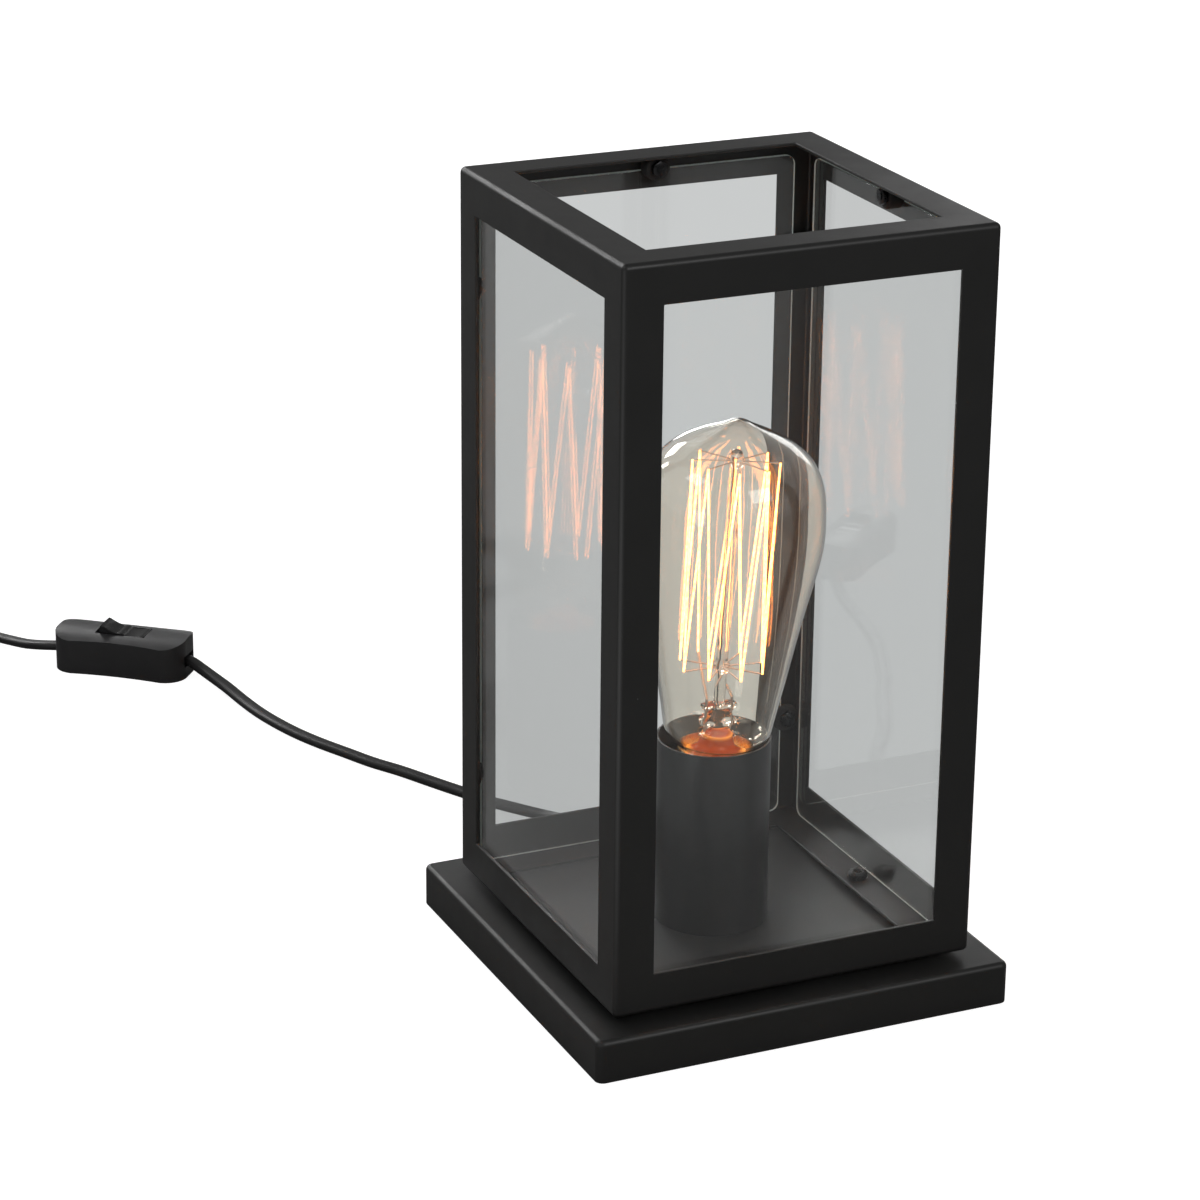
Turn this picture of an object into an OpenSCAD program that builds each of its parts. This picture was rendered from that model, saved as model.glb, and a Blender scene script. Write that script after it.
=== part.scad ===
// Lantern table lamp: a folded steel tray carries a welded angle cage with four glass panes.
// A screw-in filament bulb stands inside, fed by a two-core cord with an in-line rocker switch.

/* [Tray] */
// Width of the tray's ledge round the cage
tray_ledge = 10.5; // [9.5:0.1:14]
// Height of the tray's folded side
tray_h = 15.4; // [15:0.1:22]
// Distance that the tray's side reaches below the bottom plate
skirt_drop = 0.5; // [0:0.1:0.5]
// Thickness of the tray's sheet
tray_sheet = 1.2; // [1:0.1:1.6]
// Inside radius of the fold round the tray's top
tray_fold_r = 0.8; // [0.4:0.1:2]
// Radius of the tray's upright corners
tray_corner_r = 3; // [2.5:0.5:8]
// Thickness of the bottom plate
cover_t = 1; // [0.8:0.1:1.4]
// Distance of a bottom screw from the tray's two sides
standoff_inset = 10; // [8:0.5:14]
// Radius of a threaded standoff
standoff_r = 4; // [3.6:0.1:5]
// Thickness of a foot pad
foot_t = 0.8; // [0.6:0.1:2]
// Radius of a foot pad
foot_r = 6; // [4:0.5:8]
// Distance of a foot pad from the tray's two sides
foot_inset = 22; // [20:1:30]

/* [Cage] */
// Width of the square cage
cage_w = 135; // [130:1:140]
// Height of the cage
cage_h = 260.6; // [240:0.2:300]
// Width of each leg of the angle bars
angle_leg = 14.3; // [13:0.1:15]
// Thickness of the angle bars
angle_sheet = 1.2; // [1:0.1:1.4]
// Inside radius of the angle bars' bend
angle_bend_r = 0.8; // [0.4:0.1:2]
// Height of the spacers between tray and cage
spacer_h = 1.7; // [1:0.1:4]
// Distance of a cage screw from the cage's outer face
cage_screw_inset = 8.5; // [8.3:0.1:9]
// Radius of a cage screw
cage_screw_r = 2; // [1.5:0.1:2.5]

/* [Panes] */
// Thickness of the glass
pane_t = 2; // [1.6:0.1:2.4]
// Corner radius of the glass
pane_corner_r = 3.5; // [1:0.5:6]
// Distance of the side studs from the cage's outer face
side_stud_inset = 6.7; // [6.7:0.1:8]
// Height of the lower side stud above the cage's foot
side_stud_low = 39.2; // [30:0.2:60]
// Distance of the upper side stud below the cage's top
side_stud_high = 41; // [30:0.5:60]
// Radius of the studs
stud_r = 1.4; // [1.2:0.1:1.5]
// Radius of the side washers
washer_r = 5.3; // [4.5:0.1:5.3]
// Thickness of the side washers
washer_t = 1.5; // [1:0.1:2]
// Thickness of the stud nuts
stud_nut_t = 1.8; // [1.4:0.1:2.2]
// Radius of the stud nuts, over their corners
stud_nut_r = 3.1; // [2.8:0.1:3.3]
// Radius of the top bumpers
bumper_r = 4.6; // [4:0.1:5]
// Thickness of the top bumpers
bumper_t = 5.5; // [4:0.1:6]
// Distance of a top bumper from the middle of its side
bumper_x = 3.4; // [0:0.2:20]

/* [Lampholder] */
// Angle at which the lampholder and bulb lean
lean = 2.6; // [0:0.1:2.8]
// Direction of the lean, anticlockwise from the right
lean_dir = -24.4; // [-60:0.1:60]
// Height above the tray at which the leaning axis crosses the upright one
lean_h = 44.3; // [42:0.1:46]
// Outer radius of the sleeve
sleeve_r = 20.15; // [20:0.05:22]
// Height of the sleeve
sleeve_h = 68.2; // [66:0.2:72]
// Thickness of the sleeve's wall
sleeve_wall = 0.8; // [0.6:0.1:1]
// Outer radius of the lampholder
holder_r = 16.8; // [16.4:0.1:16.9]
// Height of the lampholder
holder_h = 50; // [48:0.5:54]
// Wall of the lampholder
holder_wall = 2.2; // [1.8:0.1:2.4]
// Outer radius of the threaded nipple
nipple_r = 5; // [4.6:0.1:5.4]
// Bore radius of the threaded nipple
nipple_bore_r = 3.5; // [3.2:0.1:3.8]

/* [Bulb] */
// Height of the bulb's contact above the tray
contact_h = 36.3; // [36:0.1:37]
// Radius of the bulb's screw cap
cap_r = 13.1; // [12.8:0.05:13.2]
// Thickness of the screw cap's metal
cap_wall = 0.4; // [0.3:0.05:0.5]
// Thickness of the bulb's glass
glass_t = 0.8; // [0.5:0.1:1]
// Rise of the bulb in one turn of its thread
thread_pitch = 3.629;
// Radius of the filament cage
filament_r = 15; // [10:0.5:16]
// Height of the lower hooks above the bulb's contact
hooks_low = 58; // [52:0.5:66]
// Height of the upper hooks above the bulb's contact
hooks_high = 133; // [110:0.5:133]
// Radius of the filament wire
filament_wire_r = 0.3; // [0.2:0.05:0.4]
// Number of upper hooks
hook_count = 8; // [4:1:9]

/* [Cord] */
// Width of the flat two-core cord
cord_w = 5.6; // [5:0.1:5.8]
// Thickness of the flat two-core cord
cord_t = 3.4; // [3:0.1:3.5]
// Turns in each of the coil's two layers
coil_turns = 3.25; // [3:0.05:3.5]
// Radius of the coil at the middle of its turns
coil_mid_r = 33; // [30:0.5:36]

/* [Switch] */
// Length of the in-line switch
switch_l = 57.6; // [54:0.2:62]
// Width of the in-line switch at its ends
switch_w = 25; // [24:0.1:28]
// Height of the in-line switch at its long edges
switch_h = 14.6; // [14:0.1:16]
// Rise of the in-line switch's crowned top
switch_crown = 2.4; // [2:0.1:3]
// Depth of the waist in each long side
switch_waist = 1.2; // [0.4:0.1:1.2]
// Wall of the switch
switch_wall = 1.6; // [1.2:0.1:1.8]
// Half the rocker's length
rocker_reach = 9.6; // [8:0.2:11]
// Width of the rocker
rocker_w = 10; // [8:0.2:10.2]
// Angle from the rocker's middle position to each end
rocker_tilt = 10; // [6:0.5:12]

/* [Plug] */
// Width of the plug
plug_w = 35.3; // [33:0.1:36]
// Thickness of the plug
plug_t = 13.7; // [12:0.1:14]
// Length of the plug's body
plug_l = 36; // [32:0.5:40]
// Distance between the pins
pin_pitch = 19; // [17:0.1:19]
// Radius of a pin
pin_r = 2; // [1.9:0.1:2.4]
// Length of a pin
pin_l = 19; // [17:0.5:20]
// Length of the plug's bend relief
relief_l = 24; // [20:1:30]

/* [Hidden] */
$fn = 64;

// Clearances
close_gap = 0.05;
fit_gap = 0.1;
loose_gap = 0.2;
body_gap = 0.3;

// Heights of the base
tray_z = foot_t - skirt_drop;
tray_top = tray_z + tray_h;
tray_roof = tray_top - tray_sheet;
cage_z = tray_top + spacer_h;
cage_top = cage_z + cage_h;
cage_half = cage_w / 2;
tray_half = cage_half + tray_ledge;
tray_w = 2 * tray_half;
angle_bend = angle_bend_r + angle_sheet;
flange_top = cage_z + angle_sheet;

// Standoff and screw sizes of the bottom plate
standoff_at = tray_half - standoff_inset;
cover_screw_r = 1.4;
cover_head_r = 2.7;
cover_screw_l = 8;

// Where the glass sits inside the cage
leg_face = cage_half - angle_sheet;
pane_out = leg_face - loose_gap;
pane_in = pane_out - pane_t;
side_stud_x = cage_half - side_stud_inset;
pane_half = side_stud_x - stud_r - fit_gap;
bend_gap = angle_bend_r - loose_gap;
pane_foot = flange_top + angle_bend_r - sqrt(angle_bend_r * angle_bend_r - bend_gap * bend_gap)
            + close_gap;
bumper_z = cage_top - angle_sheet - bumper_r;
pane_top = bumper_z - stud_r - loose_gap;
side_stud_zs = [cage_z + side_stud_low, cage_top - side_stud_high];
nut_seat = pane_in - washer_t;
bumper_in = pane_in - bumper_t;

// Cage screws
cage_screw_at = cage_half - cage_screw_inset;
cage_head_r = 1.8 * cage_screw_r;
cage_head_h = 1.3 * cage_screw_r;
cage_nut_r = 2.02 * cage_screw_r;
cage_nut_t = 1.6 * cage_screw_r;
cage_nut_z = tray_roof - cage_nut_t;

// Lampholder, measured along the leaning axis
lean_z = tray_top + lean_h;
sleeve_floor = 1;
holder_z = tray_top + sleeve_floor + 0.8;
holder_floor = 4;
core_z = holder_z + 16.5;
core_t = 6;
shell_wall = 0.4;
shell_in = cap_r + body_gap;
shell_top = holder_z + holder_h - 2;
tip_z = tray_top + contact_h;
nipple_z = tray_roof - 6;
nipple_top = holder_z + holder_floor + 5;
nipple_nut_r = 8;
nipple_nut_t = 3.2;
nipple_nut_z = tray_roof - nipple_nut_t - 0.6;

// Bulb, measured from its contact
insulator_h = 5.2;
cap_rim = 27.8;
cap_rim_r = cap_r + 0.65;
neck_r = cap_r - cap_wall - loose_gap;
// Half outline of the glass: radius and height
glass_outline = [
    [neck_r, 20], [neck_r, 24], [12.9, 27], [13.7, 28.6], [15.7, 30.4], [17.5, 32.2],
    [18.9, 35], [20.2, 42], [23.2, 58], [26.9, 78], [30.9, 97], [32.1, 106], [32.1, 114],
    [30.9, 124], [27.4, 132.4], [21.4, 138.2], [14.6, 142], [8.2, 144.6], [4.4, 145.8],
    [2.6, 146.8], [1.4, 148], [0, 148.4]
];
stem_rod_r = 2;
pinch_w = 12.7;
pinch_t = 5;
pinch_z = 32;
pinch_h = 12;
hook_wire_r = 0.25;
lead_x = 4.9;
bead_r = 1.5 * filament_wire_r;
strand_count = 2 * hook_count;
strand_step = 344 / strand_count;
strand_start = 98;

// Terminal block and clamp in the tray
cord_z = foot_t + cover_t + 6.2;
bush_flange_t = 2;
clamp_y = (cage_screw_at + cage_nut_r + tray_half - tray_sheet - bush_flange_t) / 2;
clamp_l = 8;
clamp_w = 22;
clamp_screw_x = 7.5;
block_y = 38;
block_l = 14;
block_w = 20;
block_h = 9;
block_z = tray_roof - block_h;
pole_x = 4.5;
wire_r = 0.9;
wire_z = block_z + 4.2;
pole_bore_r = 1.4;
core_x = 1.4;
core_cut_y = 57.6;
wire_end_gap = 2;
nipple_mouth_y = 8;
nipple_mouth_x = 2.2;
nipple_mouth_z = wire_z - 3.6;
// Shares of the way across, along and up at each point of a wire
fan_out = [[0, 0, 0], [0.32, 0.26, 0.35], [0.84, 0.49, 0.88], [1, 0.69, 1], [1, 1, 1]];
fan_in = [[0, 0, 0], [0, 0.21, 0], [0.22, 0.5, 0.39], [0.65, 0.79, 0.83], [1, 1, 1]];

// Bush in the tray's back wall
bush_flange_r = 6;
bush_l = 22;
bush_r = 4.8;
bush_tip_r = 3.6;
bush_hole_r = 4.9;

// Switch
switch_x = -107.8;
switch_y = 342.2;
switch_yaw = 141;
switch_corner_r = 9;
switch_split = switch_h / 2;
switch_top = switch_h + switch_crown;
crown_r = (switch_w * switch_w / 4 + switch_crown * switch_crown) / (2 * switch_crown);
rocker_z = switch_top - 3.2;
rocker_pin_r = 1;
rocker_rise = 4.6;
rocker_barrel_r = 3.6;
rocker_sweep = sqrt(rocker_reach * rocker_reach + rocker_rise * rocker_rise);
rocker_dish_r = 24;
rocker_dish = 1.6;
window_l = 2 * (rocker_sweep + body_gap);
window_w = rocker_w + 2 * body_gap;
ear_t = 1.5;
slot_play = 2.4;
screw_post_r = 2.2;
screw_post_x = 19;
screw_post_y = 6.4;
switch_screw_r = 1;

// Cord coil and tie
layer_pitch = cord_t + fit_gap;
turn_pitch = cord_w + fit_gap;
coil_x = -202;
coil_y = 400;
coil_entry = 25;
tie_t = 0.8;
tie_w = 7;
coil_band = coil_turns * turn_pitch / 2 + cord_w / 2;
coil_in = coil_mid_r - coil_band;
coil_out = coil_mid_r + coil_band;
coil_h = 2 * layer_pitch;
tie_angle = 12;

// Plug
plug_x = -268;
plug_y = 345;
plug_z = plug_t / 2;
plug_back = plug_y + plug_l / 2;
plug_front = plug_y - plug_l / 2;
relief_tip_y = plug_back + relief_l;

// Cord routes, point by point
route_lamp = [
    [0, 58, 8], [0, 68, 8], [0, 78, 8], [0, 90, 8], [0, 100, 8], [-1, 109, 6.8],
    [-3, 118, 4.2], [-6, 127, 2.4], [-11, 136, 1.7], [-18, 146, 1.7], [-25, 156, 1.7],
    [-31, 167, 1.7], [-37, 179, 1.7], [-43, 191, 1.7], [-50, 203, 1.7], [-56, 216, 1.7],
    [-62, 229, 1.7], [-67, 242, 1.7], [-71, 256, 1.7], [-74, 270, 1.8], [-76, 283, 2.2],
    [-78.4, 296, 3.5], [-81, 305.5, 4.8], [-83.4, 314, 6], [-85.2, 320, 6.9], [-87.4, 325, 7.3]
];
route_middle = [
    [-131.6, 359.8, 7.3], [-137.2, 363.8, 6.9], [-142, 370, 5.9], [-145.8, 378.4, 4.8],
    [-149.4, 387, 3.8], [-153.4, 396.4, 2.9], [-158.4, 407, 2.5], [-163.6, 418, 2.5]
];
route_end = [
    [-220, 438.4, 6.1], [-232, 432.4, 5.4], [-243, 425, 4.2], [-252, 416, 3.4],
    [-259.6, 408, 3.6], [-265, 399, 5.2]
];

// ---------- Shared shapes ----------

module corner_square(size, r) {
    translate([r, 0])
        square([size - r, size]);
    translate([0, r])
        square([size, size - r]);
    translate([r, r])
        circle(r);
}

module round_rect(l, w, r) {
    square([l - 2 * r, w], center = true);
    square([l, w - 2 * r], center = true);
    for (x = [-1, 1], y = [-1, 1])
        translate([x * (l / 2 - r), y * (w / 2 - r)])
            circle(r);
}

module arch(w, h, r) {
    translate([-w / 2, 0])
        square([w, h - r]);
    translate([-w / 2 + r, 0])
        square([w - 2 * r, h]);
    for (x = [-1, 1])
        translate([x * (w / 2 - r), h - r])
            circle(r);
}

// Slab with rounded upright corners and a rounded top edge
module folded_slab(w, h, fold, corner) {
    intersection() {
        linear_extrude(h)
            round_rect(w, w, corner);
        rotate([90, 0, 0])
            linear_extrude(w, center = true)
                arch(w, h, fold);
        rotate([90, 0, 90])
            linear_extrude(w, center = true)
                arch(w, h, fold);
    }
}

module ring(r_out, r_in, h) {
    difference() {
        cylinder(r = r_out, h = h);
        translate([0, 0, -1])
            cylinder(r = r_in, h = h + 2);
    }
}

module hex_nut(r_corner, r_bore, h) {
    difference() {
        cylinder(r = r_corner, h = h, $fn = 6);
        translate([0, 0, -1])
            cylinder(r = r_bore, h = h + 2);
    }
}

module pan_head(r, h) {
    difference() {
        intersection() {
            cylinder(r = r, h = h);
            translate([0, 0, h - 1.6 * r])
                sphere(1.6 * r);
        }
        translate([0, 0, h * 0.5])
            cylinder(r = r * 0.4, h = h, $fn = 6);
    }
}

module rod_between(p, q, r) {
    d = q - p;
    length = norm(d);
    translate(p)
        rotate([0, acos(d.z / length), atan2(d.y, d.x)])
            cylinder(r = r, h = length);
}

// Points of a flat tube round a route
function unit(v) = v / norm(v);
function heading(route, i) =
    unit(route[min(i + 1, len(route) - 1)] - route[max(i - 1, 0)]);
function side_of(t) = unit(cross(t, [0, 0, 1]));
function tube_ring(centre, t, a, b, sides) = [
    for (k = [0 : sides - 1])
        let (angle = 360 * (k + 0.5) / sides, side = side_of(t))
        centre + a * cos(angle) * side + b * sin(angle) * cross(side, t)
];

module flat_tube(route, width, height, sides = 10) {
    rings = len(route);
    points = [
        for (i = [0 : rings - 1])
            each tube_ring(route[i], heading(route, i), width / 2, height / 2, sides)
    ];
    walls = [
        for (i = [0 : rings - 2], k = [0 : sides - 1])
            let (next = (k + 1) % sides)
            [i * sides + k, (i + 1) * sides + k, (i + 1) * sides + next, i * sides + next]
    ];
    start = [for (k = [0 : sides - 1]) k];
    end = [for (k = [sides - 1 : -1 : 0]) (rings - 1) * sides + k];
    polyhedron(points, concat([start], walls, [end]));
}

// Quarter-turn copies: 0 front, 1 right, 2 back, 3 left
module on_side(side) {
    rotate([0, 0, 90 * side])
        children();
}

module on_all_sides() {
    for (side = [0 : 3])
        on_side(side)
            children();
}

module leaning() {
    translate([0, 0, lean_z])
        rotate([0, 0, lean_dir])
            rotate([0, lean, 0])
                rotate([0, 0, -lean_dir])
                    translate([0, 0, -lean_z])
                        children();
}

module in_bulb() {
    leaning()
        translate([0, 0, tip_z])
            children();
}

module nipple_hole() {
    leaning()
        translate([0, 0, nipple_z])
            cylinder(r = nipple_r + loose_gap, h = nipple_top - nipple_z);
}

// ---------- Base ----------

module at_standoffs() {
    for (x = [-1, 1], y = [-1, 1])
        translate([x * standoff_at, y * standoff_at, foot_t])
            children();
}

module at_cage_screws() {
    on_all_sides()
        translate([0, -cage_screw_at, 0])
            children();
}

module base_tray() {
    color("#262524")
        difference() {
            translate([0, 0, tray_z])
                folded_slab(tray_w, tray_h, tray_fold_r + tray_sheet, tray_corner_r);
            translate([0, 0, tray_z - 1])
                folded_slab(tray_w - 2 * tray_sheet, tray_h - tray_sheet + 1,
                            tray_fold_r, tray_corner_r - tray_sheet);
            at_cage_screws()
                cylinder(r = cage_screw_r + fit_gap, h = tray_top + 1);
            nipple_hole();
            translate([0, tray_half - tray_sheet - 1, cord_z])
                rotate([-90, 0, 0])
                    cylinder(r = bush_hole_r, h = tray_sheet + 2);
        }
}

module cover_screw(gap) {
    head_h = cover_head_r - cover_screw_r;
    cylinder(r1 = cover_head_r + gap, r2 = cover_screw_r + gap, h = head_h);
    cylinder(r = cover_screw_r + gap, h = cover_screw_l + gap);
}

module base_cover() {
    cover_w = tray_w - 2 * (tray_sheet + loose_gap);
    color("#1d1d1d")
        difference() {
            translate([0, 0, foot_t])
                linear_extrude(cover_t)
                    round_rect(cover_w, cover_w, tray_corner_r - tray_sheet);
            at_standoffs()
                cover_screw(fit_gap);
        }
}

module cover_standoffs() {
    color("#77787a")
        difference() {
            at_standoffs()
                translate([0, 0, cover_t])
                    cylinder(r = standoff_r, h = tray_roof - foot_t - cover_t);
            at_standoffs()
                cover_screw(close_gap);
        }
}

module cover_screws() {
    color("#8c8d8f")
        difference() {
            at_standoffs()
                cover_screw(0);
            at_standoffs()
                translate([0, 0, -1])
                    cylinder(r = cover_screw_r * 0.7, h = 1.8, $fn = 6);
        }
}

module foot_pads() {
    at = tray_half - foot_inset;
    color("#151515")
        for (x = [-1, 1], y = [-1, 1])
            translate([x * at, y * at, 0])
                cylinder(r = foot_r, h = foot_t);
}

module cord_bush() {
    color("#141414")
        translate([0, 0, cord_z])
            difference() {
                rotate([-90, 0, 0]) {
                    translate([0, 0, tray_half - tray_sheet - bush_flange_t])
                        cylinder(r = bush_flange_r, h = bush_flange_t);
                    translate([0, 0, tray_half - tray_sheet - 0.5])
                        cylinder(r = bush_r, h = tray_sheet + 1);
                    translate([0, 0, tray_half])
                        cylinder(r1 = bush_flange_r, r2 = bush_tip_r, h = bush_l);
                }
                translate([0, tray_half + bush_l / 2, 0])
                    cube([cord_w + loose_gap, 2 * bush_l, cord_t + loose_gap], center = true);
            }
}

module at_clamp_screws() {
    for (x = [-1, 1])
        translate([x * clamp_screw_x, clamp_y, 0])
            children();
}

module cord_anchor() {
    seat_z = cord_z + cord_t / 2 + fit_gap;
    color("#e6e3da")
        difference() {
            translate([-clamp_w / 2, clamp_y - clamp_l / 2, seat_z])
                cube([clamp_w, clamp_l, tray_roof - seat_z]);
            at_clamp_screws()
                cylinder(r = cover_screw_r + close_gap, h = tray_roof + 1);
        }
}

module cord_clamp() {
    seat_z = cord_z - cord_t / 2 - fit_gap;
    color("#e6e3da")
        difference() {
            translate([-clamp_w / 2, clamp_y - clamp_l / 2, seat_z - 2.4])
                cube([clamp_w, clamp_l, 2.4]);
            at_clamp_screws()
                cylinder(r = cover_screw_r + close_gap, h = tray_roof + 1);
        }
}

module clamp_screws() {
    head_top = cord_z - cord_t / 2 - fit_gap - 2.4;
    color("#8c8d8f")
        at_clamp_screws()
            translate([0, 0, head_top]) {
                mirror([0, 0, 1])
                    pan_head(2.6, 1.4);
                cylinder(r = cover_screw_r, h = tray_roof - head_top - 0.5);
            }
}

module at_poles() {
    for (x = [-1, 1])
        translate([x * pole_x, block_y, 0])
            children();
}

module terminal_block() {
    color("#e6e3da")
        difference() {
            translate([-block_w / 2, block_y - block_l / 2, block_z])
                cube([block_w, block_l, block_h]);
            at_poles()
                translate([0, 0, wire_z])
                    rotate([90, 0, 0])
                        cylinder(r = pole_bore_r, h = block_l + 2, center = true);
            for (y = [-1, 1])
                at_poles()
                    translate([0, y * block_l / 4, block_z - 1])
                        cylinder(r = 1.2, h = wire_z - block_z + 1);
        }
}

module terminal_screws() {
    color("#c9a24c")
        for (y = [-1, 1])
            at_poles()
                translate([0, y * block_l / 4, block_z])
                    cylinder(r = 1.1, h = wire_z - block_z - wire_r - fit_gap);
}

function along(from, to, shares) = [
    for (s = shares)
        [from.x + (to.x - from.x) * s.x, from.y + (to.y - from.y) * s.y, from.z + (to.z - from.z) * s.z]
];

// Core from the cord to the block, and from the block up the nipple
module wire_pair(side) {
    shift = lean_z - nipple_z;
    foot = [-shift * tan(lean) * cos(lean_dir), -shift * tan(lean) * sin(lean_dir), 0];
    up = [sin(lean) * cos(lean_dir), sin(lean) * sin(lean_dir), cos(lean)];
    start = foot + [side * core_x, 0, nipple_z];
    cut_end = [side * core_x, core_cut_y, cord_z];
    in_end = [side * pole_x, block_y + wire_end_gap, wire_z];
    out_end = [side * pole_x, block_y - wire_end_gap, wire_z];
    mouth = [side * nipple_mouth_x, nipple_mouth_y, nipple_mouth_z];
    inside = core_z - nipple_z - 1;
    flat_tube(along(cut_end, in_end, fan_out), 2 * wire_r, 2 * wire_r, 8);
    flat_tube(concat(along(out_end, mouth, fan_in), [
        start + [0, 4 * wire_r, -3 * wire_r], start + [0, 1.1 * wire_r, -1.1 * wire_r],
        start + [0, 0.2 * wire_r, 1.6 * wire_r], start + [0, 0, 4.4 * wire_r],
        start + 0.6 * inside * up, start + inside * up
    ]), 2 * wire_r, 2 * wire_r, 8);
}

module live_wires() {
    color("#6b3f22")
        wire_pair(-1);
}

module neutral_wires() {
    color("#2c5f9e")
        wire_pair(1);
}

module cage_spacers() {
    color("#202020")
        at_cage_screws()
            translate([0, 0, tray_top])
                ring(cage_screw_r + 2.5, cage_screw_r + fit_gap, spacer_h);
}

module cage_screws() {
    tip = cage_nut_z - 1;
    color("#1c1c1c")
        at_cage_screws() {
            translate([0, 0, tip])
                cylinder(r = cage_screw_r, h = flange_top - tip);
            translate([0, 0, flange_top])
                pan_head(cage_head_r, cage_head_h);
        }
}

module cage_nuts() {
    color("#8c8d8f")
        at_cage_screws()
            translate([0, 0, cage_nut_z])
                hex_nut(cage_nut_r, cage_screw_r + close_gap, cage_nut_t);
}

// ---------- Cage ----------

module angle_profile() {
    difference() {
        corner_square(angle_leg, angle_bend);
        translate([angle_sheet, angle_sheet])
            corner_square(angle_leg, angle_bend_r);
    }
}

// Everything past the two mitre planes of a bar that starts at the origin
module mitre_waste() {
    size = 6 * angle_leg;
    for (turn = [[0, -45, 0], [45, 0, 0]])
        rotate(turn)
            translate([-size / 2, -size / 2, -size])
                cube(size);
}

module angle_bar(length) {
    difference() {
        linear_extrude(length)
            angle_profile();
        mitre_waste();
        translate([0, 0, length])
            mirror([0, 0, 1])
                mitre_waste();
    }
}

module post() {
    color("#262524")
        translate([-cage_half, -cage_half, cage_z])
            angle_bar(cage_h);
}

module bottom_rail() {
    color("#262524")
        difference() {
            translate([-cage_half, -cage_half, cage_z])
                rotate(a = 120, v = [1, 1, 1])
                    angle_bar(cage_w);
            translate([0, -cage_screw_at, cage_z - 1])
                cylinder(r = cage_screw_r + fit_gap, h = angle_sheet + 2);
        }
}

module top_rail() {
    color("#262524")
        translate([-cage_half, -cage_half, cage_top])
            mirror([0, 0, 1])
                rotate(a = 120, v = [1, 1, 1])
                    angle_bar(cage_w);
}

// ---------- Panes and what holds them ----------

module pane() {
    color([0.85, 0.88, 0.87, 0.35])
        translate([0, -pane_in, (pane_foot + pane_top) / 2])
            rotate([90, 0, 0])
                linear_extrude(pane_t)
                    round_rect(2 * pane_half, pane_top - pane_foot, pane_corner_r);
}

// Puts a shape that points inwards on the front, at x and z
module on_pane(x, depth, z) {
    translate([x, -depth, z])
        rotate([-90, 0, 0])
            children();
}

module pane_studs() {
    color("#1c1c1c")
        on_all_sides() {
            for (z = side_stud_zs)
                on_pane(-side_stud_x, leg_face, z)
                    cylinder(r = stud_r, h = leg_face - nut_seat + stud_nut_t + 0.4);
            on_pane(-bumper_x, leg_face, bumper_z)
                cylinder(r = stud_r, h = leg_face - bumper_in + stud_nut_t + 0.4);
        }
}

module side_washers() {
    color("#131313")
        on_all_sides()
            for (z = side_stud_zs)
                on_pane(-side_stud_x, pane_in, z)
                    ring(washer_r, stud_r + close_gap, washer_t);
}

module top_bumpers() {
    color("#131313")
        on_all_sides()
            on_pane(-bumper_x, pane_in, bumper_z)
                ring(bumper_r, stud_r + close_gap, bumper_t);
}

module stud_nuts() {
    color("#2a2a2a")
        on_all_sides() {
            for (z = side_stud_zs)
                on_pane(-side_stud_x, nut_seat, z)
                    hex_nut(stud_nut_r, stud_r + close_gap, stud_nut_t);
            on_pane(-bumper_x, bumper_in, bumper_z)
                hex_nut(stud_nut_r, stud_r + close_gap, stud_nut_t);
        }
}

// ---------- Lampholder ----------

module lampholder_sleeve() {
    color("#2b2b2b")
        difference() {
            translate([0, 0, tray_top])
                cylinder(r = sleeve_r, h = sleeve_h);
            translate([0, 0, tray_top + sleeve_floor])
                cylinder(r = sleeve_r - sleeve_wall, h = sleeve_h);
            nipple_hole();
        }
}

module lampholder_body() {
    room_r = holder_r - holder_wall;
    color("#171717")
        leaning()
            translate([0, 0, holder_z])
                difference() {
                    rotate_extrude()
                        polygon([
                            [nipple_r + close_gap, 0], [holder_r - 3, 0], [holder_r, 5],
                            [holder_r, holder_h], [room_r, holder_h], [room_r, holder_floor],
                            [nipple_r + 2, holder_floor], [nipple_r + 2, holder_floor + 4],
                            [nipple_r + close_gap, holder_floor + 4]
                        ]);
                }
}

module lampholder_core() {
    color("#e4e0d4")
        leaning()
            translate([0, 0, core_z])
                difference() {
                    cylinder(r = holder_r - holder_wall - fit_gap, h = core_t);
                    for (x = [-1, 1])
                        translate([x * 9, 0, -1])
                            cylinder(r = 1.3, h = core_t + 2);
                }
}

module lampholder_shell() {
    color("#c9a24c")
        leaning()
            translate([0, 0, core_z + core_t])
                difference() {
                    cylinder(r = shell_in + shell_wall, h = shell_top - core_z - core_t);
                    translate([0, 0, shell_wall])
                        cylinder(r = shell_in, h = shell_top);
                    translate([0, 0, -1])
                        cylinder(r = 8, h = 3);
                }
}

// Bent springy tongue under the bulb's contact
module lampholder_contact() {
    rise = tip_z - body_gap - core_z - core_t;
    t = 0.5;
    color("#c9a24c")
        leaning()
            translate([0, 0, core_z + core_t])
                rotate([90, 0, 0])
                    linear_extrude(5, center = true)
                        polygon([
                            [-6, 0], [3.5, 0], [5.5, 2], [3, rise], [-3, rise], [-4, rise - t],
                            [2.6, rise - t], [4.8, 2.1], [3.2, t], [-6, t]
                        ]);
}

module nipple() {
    color("#b9bbbd")
        leaning()
            translate([0, 0, nipple_z])
                ring(nipple_r, nipple_bore_r, nipple_top - nipple_z);
}

module nipple_nut() {
    color("#b9bbbd")
        leaning()
            translate([0, 0, nipple_nut_z])
                hex_nut(nipple_nut_r, nipple_r + close_gap, nipple_nut_t);
}

// ---------- Bulb ----------

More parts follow.
